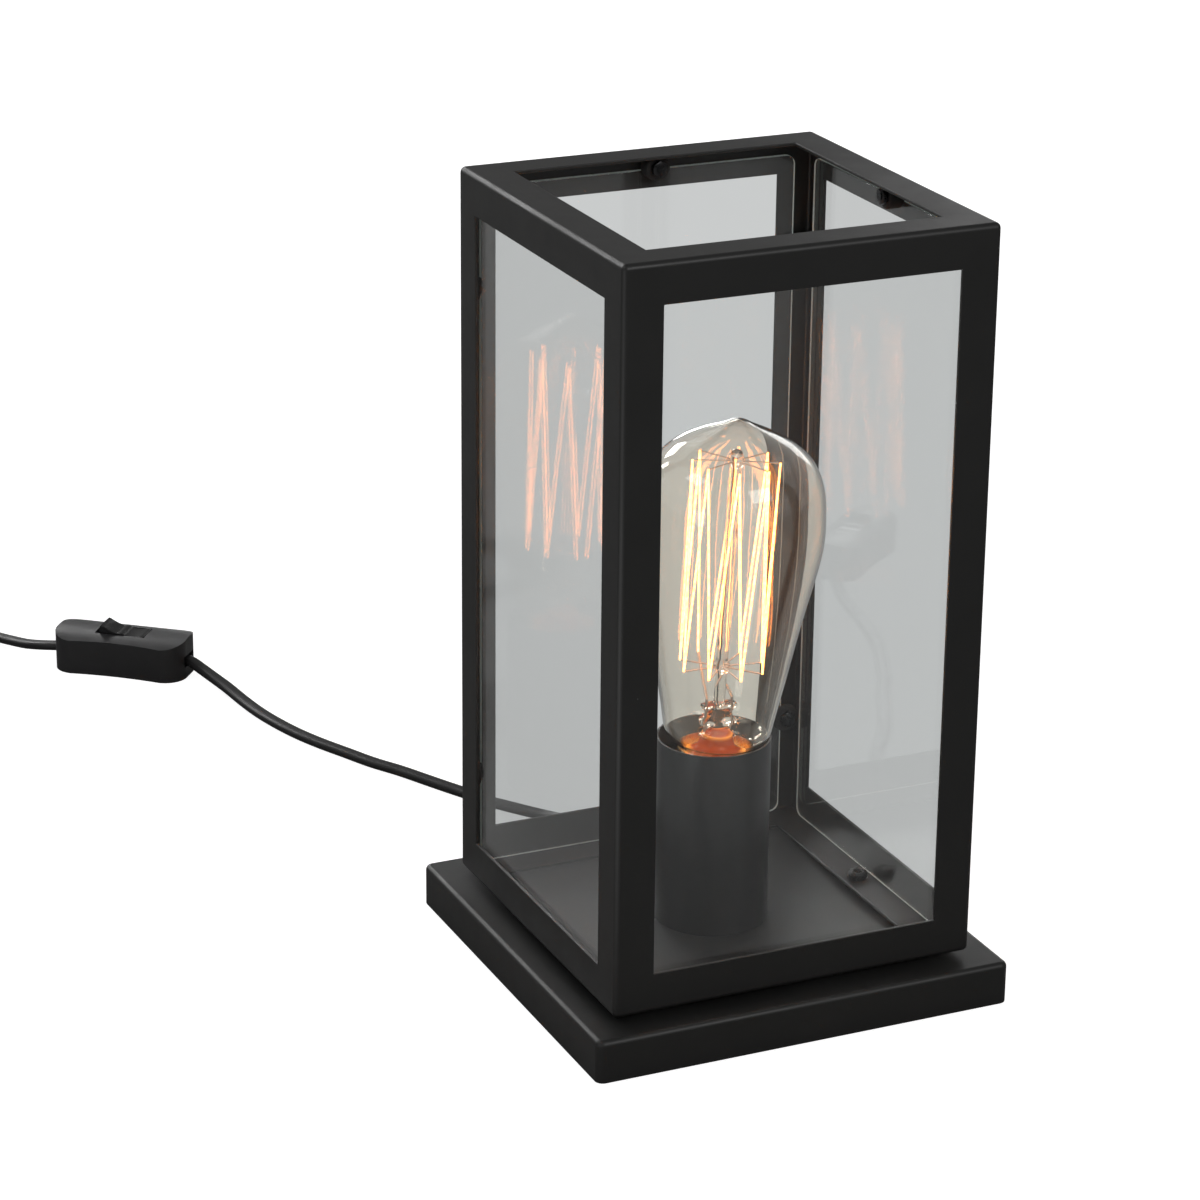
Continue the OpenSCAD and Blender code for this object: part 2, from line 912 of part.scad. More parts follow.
// Smooth curve through a list of points
function spline_point(a, b, c, d, t) =
    0.5 * (2 * b + (c - a) * t + (2 * a - 5 * b + 4 * c - d) * t * t
           + (3 * b - a - 3 * c + d) * t * t * t);
function smooth(p, steps) = [
    for (i = [0 : len(p) - 2], k = [0 : steps - 1])
        let (before = p[max(i - 1, 0)], after = p[min(i + 2, len(p) - 1)])
        spline_point(before, p[i], p[i + 1], after, k / steps),
    p[len(p) - 1]
];
function inset_point(p, i, d) =
    let (t = unit(p[min(i + 1, len(p) - 1)] - p[max(i - 1, 0)]))
    [max(0, p[i].x - d * t.y), p[i].y + d * t.x];
function inset_curve(p, d) = [for (i = [0 : len(p) - 1]) inset_point(p, i, d)];

module bulb_glass() {
    outer = smooth(glass_outline, 3);
    last = len(glass_outline) - 3;
    dome = smooth([for (i = [0 : last - 1]) glass_outline[i]], 3);
    inner = concat(inset_curve(dome, glass_t), [[0, glass_outline[last - 1].y - glass_t]]);
    color([0.95, 0.9, 0.8, 0.3])
        in_bulb()
            rotate_extrude()
                polygon(concat(outer, [for (i = [len(inner) - 1 : -1 : 0]) inner[i]]));
}

module bulb_cap() {
    rim_in = cap_rim_r - cap_wall;
    foot = insulator_h + body_gap;
    bevel = cap_wall * tan(22.5);
    color("#b08d57")
        in_bulb()
            rotate_extrude()
                polygon([
                    [cap_r - 4, foot], [cap_r - 1, foot], [cap_r, foot + 1],
                    [cap_r, cap_rim - 2.6], [cap_rim_r, cap_rim - 1.6],
                    [cap_rim_r, cap_rim], [rim_in, cap_rim], [rim_in, cap_rim - 1.5],
                    [cap_r - cap_wall, cap_rim - 2.5],
                    [cap_r - cap_wall, foot + 1 + bevel],
                    [cap_r - 1 - bevel, foot + cap_wall], [cap_r - 4, foot + cap_wall]
                ]);
}

module bulb_insulator() {
    color("#101012")
        in_bulb()
            rotate_extrude()
                polygon([[0, 1.2], [5, 1.2], [cap_r - 1.2, insulator_h], [0, insulator_h]]);
}

module bulb_contact() {
    color("#c7c8ca")
        in_bulb()
            rotate_extrude()
                polygon([[0, 0], [2.6, 0.1], [4.2, 0.6], [4.8, 1.2], [0, 1.2]]);
}

module bulb_stem() {
    flare_r = neck_r - glass_t - fit_gap;
    rod_top = hooks_high + 2;
    color([0.9, 0.9, 0.88, 0.4])
        in_bulb() {
            rotate_extrude()
                polygon([
                    [flare_r, 20], [flare_r, 21], [8, 23.6], [6.2, 27], [5.4, pinch_z + 1],
                    [0, pinch_z + 1], [0, pinch_z - 1], [4.2, pinch_z - 1], [5.2, 26.4],
                    [7.2, 22.8], [flare_r - 2, 20]
                ]);
            translate([-pinch_w / 2, -pinch_t / 2, pinch_z])
                cube([pinch_w, pinch_t, pinch_h]);
            translate([0, 0, pinch_z + pinch_h - 1])
                cylinder(r = stem_rod_r, h = rod_top - pinch_z - pinch_h + 1);
            for (h = [hooks_low, hooks_high])
                translate([0, 0, h])
                    sphere(stem_rod_r + 1);
        }
}

function strand_end(j) =
    let (angle = strand_start + strand_step * j)
    [filament_r * cos(angle), filament_r * sin(angle), j % 2 == 0 ? hooks_low : hooks_high];

module lead_wires() {
    color("#a9a9a9")
        in_bulb()
            for (side = [-1, 1]) {
                foot = [-side * lead_x, 0, pinch_z + 2];
                top = strand_end(side < 0 ? strand_count : 0);
                knee = [foot.x, 0, pinch_z + pinch_h + 2];
                rod_between(foot, knee, 2 * hook_wire_r);
                translate(knee)
                    sphere(2.2 * hook_wire_r);
                rod_between(knee, top - unit(top - knee) * (bead_r + close_gap), 2 * hook_wire_r);
            }
}

module hook_wires() {
    color("#a9a9a9")
        in_bulb()
            for (j = [1 : strand_count - 1]) {
                tip = strand_end(j);
                out = unit([tip.x, tip.y, 0]);
                rod_between([0, 0, tip.z] + (stem_rod_r - 0.6) * out,
                            tip - (bead_r + close_gap) * out, hook_wire_r);
            }
}

module filament() {
    color("#ffb14a")
        in_bulb() {
            for (j = [0 : strand_count - 1])
                rod_between(strand_end(j), strand_end(j + 1), filament_wire_r, $fn = 6);
            for (j = [0 : strand_count])
                translate(strand_end(j))
                    cylinder(r = bead_r, h = 2 * bead_r, center = true, $fn = 12);
        }
}

// ---------- Cord, switch and plug ----------

function at_switch_point(x, z) =
    [switch_x + x * cos(switch_yaw), switch_y + x * sin(switch_yaw), z];

module at_switch() {
    translate([switch_x, switch_y, 0])
        rotate([0, 0, switch_yaw])
            children();
}

module cord_lamp() {
    color("#161616")
        flat_tube(concat(route_lamp, [at_switch_point(-switch_l / 2 + 6, switch_split)]),
                  cord_w, cord_t);
}

module cord_middle() {
    color("#161616")
        flat_tube(concat([at_switch_point(switch_l / 2 - 6, switch_split)], route_middle),
                  cord_w, cord_t);
}

module cord_end() {
    color("#161616")
        flat_tube(concat(route_end, [
            [plug_x, relief_tip_y + 2, plug_z], [plug_x, relief_tip_y - 10, plug_z]
        ]), cord_w, cord_t);
}

module at_coil() {
    translate([coil_x, coil_y, tie_t])
        children();
}

module cord_coil() {
    edge = cord_t / 2;
    color("#161616")
        at_coil() {
            rotate_extrude()
                translate([coil_mid_r, coil_h / 2])
                    round_rect(2 * coil_band, coil_h, edge);
            rotate([0, 0, coil_entry + 160])
                rotate_extrude(angle = tie_angle)
                    translate([coil_mid_r, coil_h / 2])
                        difference() {
                            square([2 * (coil_band + tie_t), coil_h + 2 * tie_t], center = true);
                            square([2 * coil_band - 1, coil_h - 1], center = true);
                        }
        }
}

module switch_outline(inset) {
    span = switch_l - 2 * switch_corner_r;
    bow_r = (span * span / 4 + switch_waist * switch_waist) / (2 * switch_waist);
    difference() {
        round_rect(switch_l - 2 * inset, switch_w - 2 * inset, switch_corner_r - inset);
        for (side = [-1, 1])
            translate([0, side * (switch_w / 2 - switch_waist + bow_r)])
                circle(bow_r + inset, $fn = 200);
    }
}

module cord_slots() {
    for (side = [-1, 1])
        translate([side * switch_l / 2, 0, switch_split])
            cube([16, cord_w + 2 * slot_play, cord_t + 4 * body_gap], center = true);
}

module at_switch_screws() {
    for (side = [-1, 1])
        translate([side * screw_post_x, side * screw_post_y, 0])
            children();
}

module switch_base() {
    color("#1f1f20")
        at_switch()
            difference() {
                union() {
                    difference() {
                        linear_extrude(switch_split)
                            switch_outline(0);
                        translate([0, 0, switch_wall])
                            linear_extrude(switch_split)
                                switch_outline(switch_wall);
                    }
                    at_switch_screws()
                        cylinder(r = screw_post_r, h = switch_split - 2);
                }
                cord_slots();
                at_switch_screws()
                    translate([0, 0, -1])
                        cylinder(r = switch_screw_r + fit_gap, h = switch_split);
                at_switch_screws()
                    translate([0, 0, -1])
                        cylinder(r = 2 * switch_screw_r + fit_gap, h = 2.2);
            }
}

module rocker_pins(gap) {
    rotate([90, 0, 0])
        cylinder(r = rocker_pin_r + gap, h = rocker_w + 2 * body_gap + 2 * ear_t - 0.4,
                 center = true);
}

// Round-topped bar that gives the cover its crown
module crown() {
    translate([0, 0, switch_top - crown_r])
        rotate([0, 90, 0])
            cylinder(r = crown_r, h = 2 * switch_l, center = true, $fn = 200);
}

module switch_cover() {
    ear_foot = rocker_z - rocker_pin_r - 2;
    roof = switch_h - switch_wall;
    color("#1f1f20")
        at_switch()
            difference() {
                intersection() {
                    translate([0, 0, switch_split])
                        linear_extrude(switch_top - switch_split)
                            switch_outline(0);
                    crown();
                }
                difference() {
                    translate([0, 0, switch_split - 1])
                        linear_extrude(roof - switch_split + 1)
                            switch_outline(switch_wall);
                    at_switch_screws()
                        translate([0, 0, switch_split - 2])
                            cylinder(r = screw_post_r, h = roof);
                    for (side = [-1, 1])
                        translate([-3, side * (window_w / 2 + ear_t / 2) - ear_t / 2, ear_foot])
                            cube([6, ear_t, roof]);
                }
                cord_slots();
                translate([-window_l / 2, -window_w / 2, roof - 1])
                    cube([window_l, window_w, switch_top]);
                translate([0, 0, rocker_z])
                    rocker_pins(close_gap);
                at_switch_screws()
                    translate([0, 0, switch_split - 3])
                        cylinder(r = switch_screw_r + close_gap, h = 6);
            }
}

module switch_rocker() {
    color("#111112")
        at_switch()
            translate([0, 0, rocker_z])
                rotate([0, -rocker_tilt, 0]) {
                    rotate([90, 0, 0])
                        linear_extrude(rocker_w, center = true) {
                            intersection() {
                                circle(rocker_sweep);
                                difference() {
                                    translate([-rocker_reach, -0.6])
                                        square([2 * rocker_reach, rocker_rise + 0.6]);
                                    translate([0, rocker_rise - rocker_dish + rocker_dish_r])
                                        circle(rocker_dish_r);
                                }
                            }
                            circle(rocker_barrel_r);
                        }
                    rocker_pins(0);
                }
}

// Brass fixed contacts and the two steel screws
module switch_fittings() {
    color("#c9a24c")
        at_switch()
            for (side = [-1, 1])
                translate([side * 9 - 3, -4, switch_wall])
                    cube([6, 8, 1.6]);
    color("#8c8d8f")
        at_switch()
            at_switch_screws()
                translate([0, 0, 0.4]) {
                    cylinder(r = 2 * switch_screw_r, h = 0.8);
                    cylinder(r = switch_screw_r, h = switch_split + 2);
                }
}

module plug() {
    color("#161616")
        translate([plug_x, plug_y, 0])
            linear_extrude(plug_t)
                round_rect(plug_w, plug_l, 5);
    color("#161616")
        translate([plug_x, plug_back - 1, plug_z])
            rotate([-90, 0, 0])
                difference() {
                    cylinder(r1 = 5.6, r2 = 3.8, h = relief_l + 1);
                    translate([0, 0, relief_l - 9])
                        cube([cord_w + loose_gap, cord_t + loose_gap, 24], center = true);
                }
    color("#c7c8ca")
        for (side = [-1, 1])
            translate([plug_x + side * pin_pitch / 2, plug_front + 0.5, plug_z])
                rotate([90, 0, 0]) {
                    cylinder(r = pin_r, h = pin_l + 0.5 - pin_r);
                    translate([0, 0, pin_l + 0.5 - pin_r])
                        sphere(pin_r);
                }
}

// ---------- Nodes ----------

base_tray();
base_cover();
cover_standoffs();
cover_screws();
foot_pads();
cord_bush();
cord_anchor();
cord_clamp();
clamp_screws();
terminal_block();
terminal_screws();
live_wires();
neutral_wires();
cage_spacers();
cage_screws();
cage_nuts();
on_side(0) post();  // post_front_left
on_side(1) post();  // post_front_right
on_side(2) post();  // post_back_right
on_side(3) post();  // post_back_left
on_side(0) top_rail();  // top_rail_front
on_side(1) top_rail();  // top_rail_right
on_side(2) top_rail();  // top_rail_back
on_side(3) top_rail();  // top_rail_left
on_side(0) bottom_rail();  // bottom_rail_front
on_side(1) bottom_rail();  // bottom_rail_right
on_side(2) bottom_rail();  // bottom_rail_back
on_side(3) bottom_rail();  // bottom_rail_left
on_side(0) pane();  // glass_front
on_side(1) pane();  // glass_right
on_side(2) pane();  // glass_back
on_side(3) pane();  // glass_left
pane_studs();
side_washers();
top_bumpers();
stud_nuts();
lampholder_sleeve();
lampholder_body();
lampholder_core();
lampholder_shell();
lampholder_contact();
nipple();
nipple_nut();
bulb_glass();
bulb_cap();
bulb_insulator();
bulb_contact();
bulb_stem();
lead_wires();
hook_wires();
filament();
cord_lamp();
switch_base();
switch_cover();
switch_rocker();
switch_fittings();
cord_middle();
cord_coil();
cord_end();
plug();
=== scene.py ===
"""Dresses the lantern table lamp: a welded steel cage with four glass panes on a folded tray, a lit
filament bulb in a sleeve, and a flat cord with an in-line rocker switch and a plug.

Every length is in metres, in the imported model's own frame.
"""

from __future__ import annotations

import logging
import math
from collections.abc import Callable, Iterable, Sequence
from dataclasses import dataclass
from enum import Enum

import bmesh
import bpy
from mathutils import Matrix, Vector

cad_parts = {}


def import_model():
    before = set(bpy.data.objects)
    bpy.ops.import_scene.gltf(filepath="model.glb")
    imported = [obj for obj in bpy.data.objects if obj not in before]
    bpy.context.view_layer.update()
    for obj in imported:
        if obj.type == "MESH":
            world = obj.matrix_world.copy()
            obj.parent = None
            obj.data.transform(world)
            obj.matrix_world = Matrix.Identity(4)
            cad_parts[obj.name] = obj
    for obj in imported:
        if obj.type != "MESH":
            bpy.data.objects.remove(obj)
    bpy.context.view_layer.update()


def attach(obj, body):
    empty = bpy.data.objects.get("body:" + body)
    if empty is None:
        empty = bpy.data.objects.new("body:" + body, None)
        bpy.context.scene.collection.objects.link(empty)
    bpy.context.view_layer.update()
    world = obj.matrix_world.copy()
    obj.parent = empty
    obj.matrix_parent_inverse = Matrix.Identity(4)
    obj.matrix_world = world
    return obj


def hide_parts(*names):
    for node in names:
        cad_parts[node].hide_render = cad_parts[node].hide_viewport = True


log = logging.getLogger("lantern_lamp")
MM = 0.001
SAME = 1e-6  # lengths that differ by less than this count as equal
FACING = 0.9  # least share of a face's normal along the way that it is said to face
FLAT = 0.999  # the same, for a face that is square to that way
MERGE = 0.000002  # corners nearer than this are merged
MIX_SHARE, MIX_FIRST, MIX_SECOND, MIX_COLOUR = 0, 6, 7, 2  # a colour Mix node's sockets
Colour = tuple[float, float, float]
Point = tuple[float, float, float]
WHITE: Colour = (1.0, 1.0, 1.0)
GREY_TINT: Colour = (0.985, 1.0, 1.0)


class Body(Enum):
    """The bodies that pieces ride on."""

    LANTERN = "lantern"
    BULB = "bulb"
    ROCKER = "rocker"


class Turn(Enum):
    """Quarter turns of a piece that repeats on each side of the cage."""

    FRONT = 0
    RIGHT = 1
    BACK = 2
    LEFT = 3

    def matrix(self) -> Matrix:
        """The turn about the Z axis."""
        return Matrix.Rotation(math.radians(90 * self.value), 4, "Z")


# ---------------------------------------------------------------- finishes


@dataclass
class Graph:
    """A material's node tree, with short ways to add to it."""

    tree: bpy.types.NodeTree

    def add(self, kind: str, values: dict | None = None, **options: object) -> bpy.types.Node:
        """Adds a node.

        Args:
            kind: the node's type name.
            values: constants or sockets for its inputs, by name or number.
            options: properties of the node itself.

        Returns:
            The new node.
        """
        node = self.tree.nodes.new(kind)
        for name, value in options.items():
            setattr(node, name, value)
        for name, value in (values or {}).items():
            if isinstance(value, bpy.types.NodeSocket):
                self.tree.links.new(value, node.inputs[name])
            elif isinstance(value, tuple) and len(value) == 3 and node.inputs[name].type == "RGBA":
                node.inputs[name].default_value = (*value, 1.0)
            else:
                node.inputs[name].default_value = value
        return node

    def noise(self, scale: float, detail: float = 2.0, rough: float = 0.5) -> bpy.types.NodeSocket:
        """Noise on Object coordinates.

        Args:
            scale: repeats in a metre.
            detail: octaves.
            rough: weight of the finer octaves.

        Returns:
            The noise's value socket.
        """
        place = self.add("ShaderNodeTexCoord")
        values = {
            "Vector": place.outputs["Object"],
            "Scale": scale,
            "Detail": detail,
            "Roughness": rough,
        }
        return self.add("ShaderNodeTexNoise", values).outputs[0]

    def cells(self, scale: float) -> bpy.types.Node:
        """A Voronoi node on Object coordinates, with scale repeats in a metre."""
        place = self.add("ShaderNodeTexCoord")
        return self.add("ShaderNodeTexVoronoi", {"Vector": place.outputs["Object"], "Scale": scale})

    def ranged(
        self,
        value: bpy.types.NodeSocket,
        low: float,
        high: float,
        start: float = 0.25,
        end: float = 0.75,
    ) -> bpy.types.NodeSocket:
        """Maps a value from start..end to low..high.

        Args:
            value: the socket to map.
            low: what start becomes.
            high: what end becomes.
            start: the value that becomes low.
            end: the value that becomes high.

        Returns:
            The mapped socket.
        """
        limits = {"Value": value, "From Min": start, "From Max": end, "To Min": low, "To Max": high}
        return self.add("ShaderNodeMapRange", limits).outputs[0]

    def blend(
        self,
        share: bpy.types.NodeSocket,
        first: Colour | bpy.types.NodeSocket,
        second: Colour | bpy.types.NodeSocket,
    ) -> bpy.types.NodeSocket:
        """Mixes two colours.

        Args:
            share: how much of the second colour shows.
            first: colour at 0.
            second: colour at 1.

        Returns:
            The colour socket.
        """
        sockets = {MIX_SHARE: share, MIX_FIRST: first, MIX_SECOND: second}
        return self.add("ShaderNodeMix", sockets, data_type="RGBA").outputs[MIX_COLOUR]

    def either(
        self,
        test: bpy.types.NodeSocket,
        otherwise: bpy.types.NodeSocket,
        chosen: bpy.types.NodeSocket,
    ) -> bpy.types.NodeSocket:
        """Chooses between two shaders.

        Args:
            test: 0 or 1.
            otherwise: the shader at 0.
            chosen: the shader at 1.

        Returns:
            The shader socket.
        """
        return self.add("ShaderNodeMixShader", {0: test, 1: otherwise, 2: chosen}).outputs[0]

    def both(
        self, first: bpy.types.NodeSocket, second: bpy.types.NodeSocket
    ) -> bpy.types.NodeSocket:
        """The product of two value sockets."""
        return self.add("ShaderNodeMath", {0: first, 1: second}, operation="MULTIPLY").outputs[0]

    def away_from(self, middle: Point) -> bpy.types.NodeSocket:
        """The distance of each point of the surface from a point, in metres.

        Args:
            middle: the point.

        Returns:
            The value socket.
        """
        place = self.add("ShaderNodeTexCoord")
        ends = {0: place.outputs["Object"], 1: middle}
        return self.add("ShaderNodeVectorMath", ends, operation="DISTANCE").outputs["Value"]

    def bump(
        self, height: bpy.types.NodeSocket, depth: float, strength: float
    ) -> bpy.types.NodeSocket:
        """Bumps the surface.

        Args:
            height: the socket that holds the height.
            depth: height of a full step, in metres.
            strength: share of the effect.

        Returns:
            The normal socket.
        """
        values = {"Height": height, "Distance": depth, "Strength": strength}
        return self.add("ShaderNodeBump", values).outputs[0]

    def show(self, shader: bpy.types.NodeSocket) -> None:
        """Puts a shader on the material's surface."""
        self.add("ShaderNodeOutputMaterial", {"Surface": shader})

    def principled(self, values: dict) -> bpy.types.NodeSocket:
        """A principled shader with these constants and sockets."""
        return self.add("ShaderNodeBsdfPrincipled", values).outputs[0]


@dataclass(frozen=True)
class Finish:
    """A finish: its material is made once and shared by all pieces that have it."""

    name: str

    def material(self) -> bpy.types.Material:
        """The material of this finish.

        Returns:
            The material, made on the first call.
        """
        made = bpy.data.materials.get(self.name)
        if made is None:
            made = bpy.data.materials.new(self.name)
            made.use_nodes = True
            made.node_tree.nodes.clear()
            self.shade(Graph(made.node_tree))
        return made

    def shade(self, graph: Graph) -> None:
        """Fills the material's node tree."""
        raise NotImplementedError


@dataclass(frozen=True)
class PowderCoat(Finish):
    """Baked powder paint: fine orange peel, slow changes of gloss and a few specks of dust."""

    colour: Colour = (0.0135, 0.0135, 0.0131)
    gloss: float = 0.5
    rough: float = 0.42
    peel: float = 0.00003
    dust: Colour = (0.16, 0.16, 0.155)
    dust_scale: float = 150.0
    dust_size: tuple[float, float] = (0.02, 0.04)
    dust_share: tuple[float, float] = (0.86, 0.88)
    tone_scale: float = 28.0
    gloss_scale: float = 45.0
    peel_scale: float = 1500.0

    def shade(self, graph: Graph) -> None:
        """Fills the material's node tree.

        Args:
            graph: the tree to fill.
        """
        cell = graph.cells(self.dust_scale)
        near = graph.ranged(cell.outputs["Distance"], 1.0, 0.0, *self.dust_size)
        chosen = graph.ranged(cell.outputs["Color"], 0.0, 1.0, *self.dust_share)
        lighter = tuple(1.25 * c for c in self.colour)
        base = graph.blend(graph.noise(self.tone_scale, 3.0), self.colour, lighter)
        dusty = graph.blend(graph.both(near, chosen), base, self.dust)
        peel = graph.bump(graph.noise(self.peel_scale, 2.0), self.peel, 0.5)
        uneven = graph.noise(self.gloss_scale, 4.0)
        values = {
            "Base Color": dusty,
            "Roughness": graph.ranged(uneven, self.rough - 0.05, self.rough + 0.06),
            "Specular IOR Level": self.gloss,
            "Normal": peel,
        }
        graph.show(graph.principled(values))


@dataclass(frozen=True)
class Moulded(Finish):
    """Moulded plastic, rubber or glazed ceramic, with a fine grain."""

    colour: Colour
    rough: float = 0.4
    grain: float = 1200.0
    depth: float = 0.00003
    gloss: float = 0.5
    coat: float = 0.0
    tone_scale: float = 90.0
    gloss_scale: float = 140.0

    def shade(self, graph: Graph) -> None:
        """Fills the material's node tree.

        Args:
            graph: the tree to fill.
        """
        lighter = tuple(min(1.0, 1.3 * c + 0.002) for c in self.colour)
        uneven = graph.noise(self.gloss_scale, 3.0)
        values = {
            "Base Color": graph.blend(graph.noise(self.tone_scale, 4.0), self.colour, lighter),
            "Roughness": graph.ranged(uneven, self.rough - 0.06, self.rough + 0.08),
            "Specular IOR Level": self.gloss,
            "Coat Weight": self.coat,
            "Coat Roughness": 0.12,
            "Normal": graph.bump(graph.noise(self.grain, 2.0), self.depth, 0.4),
        }
        graph.show(graph.principled(values))


@dataclass(frozen=True)
class Metal(Finish):
    """Bare or plated metal with light scratches and uneven polish."""

    colour: Colour
    rough: float = 0.3
    dull: float = 0.6
    tone_scale: float = 160.0
    polish_scale: float = 320.0
    scratch_scale: float = 1800.0
    scratch_depth: float = 0.00002

    def shade(self, graph: Graph) -> None:
        """Fills the material's node tree.

        Args:
            graph: the tree to fill.
        """
        dulled = tuple(self.dull * c for c in self.colour)
        tone = graph.noise(self.tone_scale, 5.0, 0.6)
        polish = graph.noise(self.polish_scale, 4.0)
        scratches = graph.noise(self.scratch_scale, 3.0)
        values = {
            "Base Color": graph.blend(tone, dulled, self.colour),
            "Metallic": 1.0,
            "Roughness": graph.ranged(polish, self.rough - 0.08, self.rough + 0.14),
            "Normal": graph.bump(scratches, self.scratch_depth, 0.35),
        }
        graph.show(graph.principled(values))


@dataclass(frozen=True)
class ClearGlass(Finish):
    """Clear glass that lets the lamps' light through, with waves where it is blown or pressed."""

    tint: Colour
    wave: float = 0.0
    wave_scale: float = 30.0
    clear: float = 1.0
    index: float = 1.5

    def shade(self, graph: Graph) -> None:
        """Fills the material's node tree.

        Args:
            graph: the tree to fill.
        """
        values = {
            "Base Color": self.tint,
            "Transmission Weight": self.clear,
            "IOR": self.index,
            "Roughness": 0.0,
        }
        if self.wave:
            values["Normal"] = graph.bump(graph.noise(self.wave_scale, 1.0), self.wave, 1.0)
        clear = graph.add("ShaderNodeBsdfTransparent", {"Color": self.tint}).outputs[0]
        path = graph.add("ShaderNodeLightPath")
        graph.show(graph.either(path.outputs["Is Shadow Ray"], graph.principled(values), clear))


@dataclass(frozen=True)
class PaintedGlowFlare(Finish):
    """The glass foot in the bulb's neck, made mostly opaque, with the filament's light painted on
    it: a painted copper-orange glow, and towards its rim a painted golden highlight and a painted
    glow.
    """

    middle: Point
    # painted light: the copper-orange colour is the filament's light painted on, the golden rim
    # colour is a painted highlight and the rim's emission is a painted glow; clear is kept low so
    # that the painted colour shows
    colour: Colour = (0.5, 0.08, 0.008)
    rim: Colour = (1.0, 0.45, 0.07)
    rim_from: float = 0.0088
    rim_to: float = 0.0106
    painted_rim_glow: float = 0.8
    clear: float = 0.2

    def shade(self, graph: Graph) -> None:
        """Fills the material's node tree.

        Args:
            graph: the tree to fill.
        """
        # painted light: towards the rim the colour turns from the painted copper-orange glow to the
        # painted golden highlight, and a painted glow in the rim colour grows from faint to strong
        outer = graph.ranged(graph.away_from(self.middle), 0.0, 1.0, self.rim_from, self.rim_to)
        ripple = graph.noise(260.0, 2.0)
        values = {
            "Base Color": graph.blend(outer, self.colour, self.rim),
            "Roughness": graph.ranged(ripple, 0.08, 0.2),
            "Transmission Weight": self.clear,
            "Specular IOR Level": 0.25,
            "Emission Color": self.rim,
            "Emission Strength": graph.ranged(outer, 0.02, self.painted_rim_glow, 0.0, 1.0),
            "Normal": graph.bump(ripple, 0.0003, 0.6),
        }
        graph.show(graph.principled(values))


@dataclass(frozen=True)
class GroundEdge(Finish):
    """The ground edge of a pane, with a faint painted glow that stands in for the light the pane
    pipes to it.
    """

    colour: Colour = (0.4, 0.44, 0.42)
    # strength of the painted glow on the edge
    painted_edge_glow: float = 0.07

    def shade(self, graph: Graph) -> None:
        """Fills the material's node tree.

        Args:
            graph: the tree to fill.
        """
        grain = graph.noise(600.0, 3.0)
        painted_edge_glow = (0.5 * self.painted_edge_glow, 1.5 * self.painted_edge_glow)
        values = {
            "Base Color": graph.blend(grain, self.colour, (0.5, 0.54, 0.52)),
            "Roughness": graph.ranged(grain, 0.22, 0.42),
            # painted light: the emission is a painted glow, uneven at random along the edge
            "Emission Color": (0.8, 0.92, 0.86),
            "Emission Strength": graph.ranged(graph.noise(25.0, 2.0), *painted_edge_glow),
            "Normal": graph.bump(grain, 0.00005, 0.4),
        }
        graph.show(graph.principled(values))


@dataclass(frozen=True)
class GlowingWire(Finish):
    """A coiled tungsten wire at working heat, hotter and cooler in fine random patches along it."""

    hot: Colour
    cool: Colour
    strength: float

    def shade(self, graph: Graph) -> None:
        """Fills the material's node tree.

        Args:
            graph: the tree to fill.
        """
        coil = graph.noise(900.0, 2.0)
        hotter = graph.ranged(coil, 0.0, 1.0, 0.35, 0.6)
        values = {
            "Base Color": (0.06, 0.05, 0.045),
            "Roughness": graph.ranged(coil, 0.35, 0.6),
            "Emission Color": graph.blend(hotter, self.cool, self.hot),
            "Emission Strength": self.strength,
        }
        graph.show(graph.principled(values))


@dataclass(frozen=True)
class StudioFloor(Finish):
    """A pale floor: white to the camera, with shadows, grey through glass, dim in reflections.

    A bright patch of it shows in reflections only, as a light card beside the lamp would.
    """

    shadow: float = 0.5
    lift: float = 0.9
    through_glass: float = 0.65
    mirrored: float = 0.5
    plain: float = 0.27
    patch: Point = (-0.43, -0.23, 0.0)
    patch_near: float = 0.06
    patch_far: float = 0.34
    patch_light: float = 1.5

    def shade(self, graph: Graph) -> None:
        """Fills the material's node tree.

        Args:
            graph: the tree to fill.
        """
        path = graph.add("ShaderNodeLightPath")
        paint = graph.add("ShaderNodeBsdfDiffuse", {"Color": (self.shadow,) * 3})
        light = graph.add("ShaderNodeEmission", {"Color": WHITE, "Strength": self.lift})
        seen = graph.add("ShaderNodeAddShader", {0: paint.outputs[0], 1: light.outputs[0]})
        grey = tuple(self.through_glass * c for c in GREY_TINT)
        dimmed = graph.ranged(path.outputs["Glossy Depth"], 1.0, self.mirrored, 0.0, 1.0)
        behind = graph.add("ShaderNodeEmission", {"Color": grey, "Strength": dimmed})
        bare = graph.add("ShaderNodeBsdfDiffuse", {"Color": (self.plain,) * 3})
        away = graph.away_from(self.patch)
        glow = graph.ranged(away, self.patch_light, 0.0, self.patch_near, self.patch_far)
        card = graph.add("ShaderNodeEmission", {"Color": WHITE, "Strength": glow})
        plain = graph.add("ShaderNodeAddShader", {0: bare.outputs[0], 1: card.outputs[0]})
        through = path.outputs["Is Transmission Ray"]
        unseen = graph.either(through, plain.outputs[0], behind.outputs[0])
        graph.show(graph.either(path.outputs["Is Camera Ray"], unseen, seen.outputs[0]))


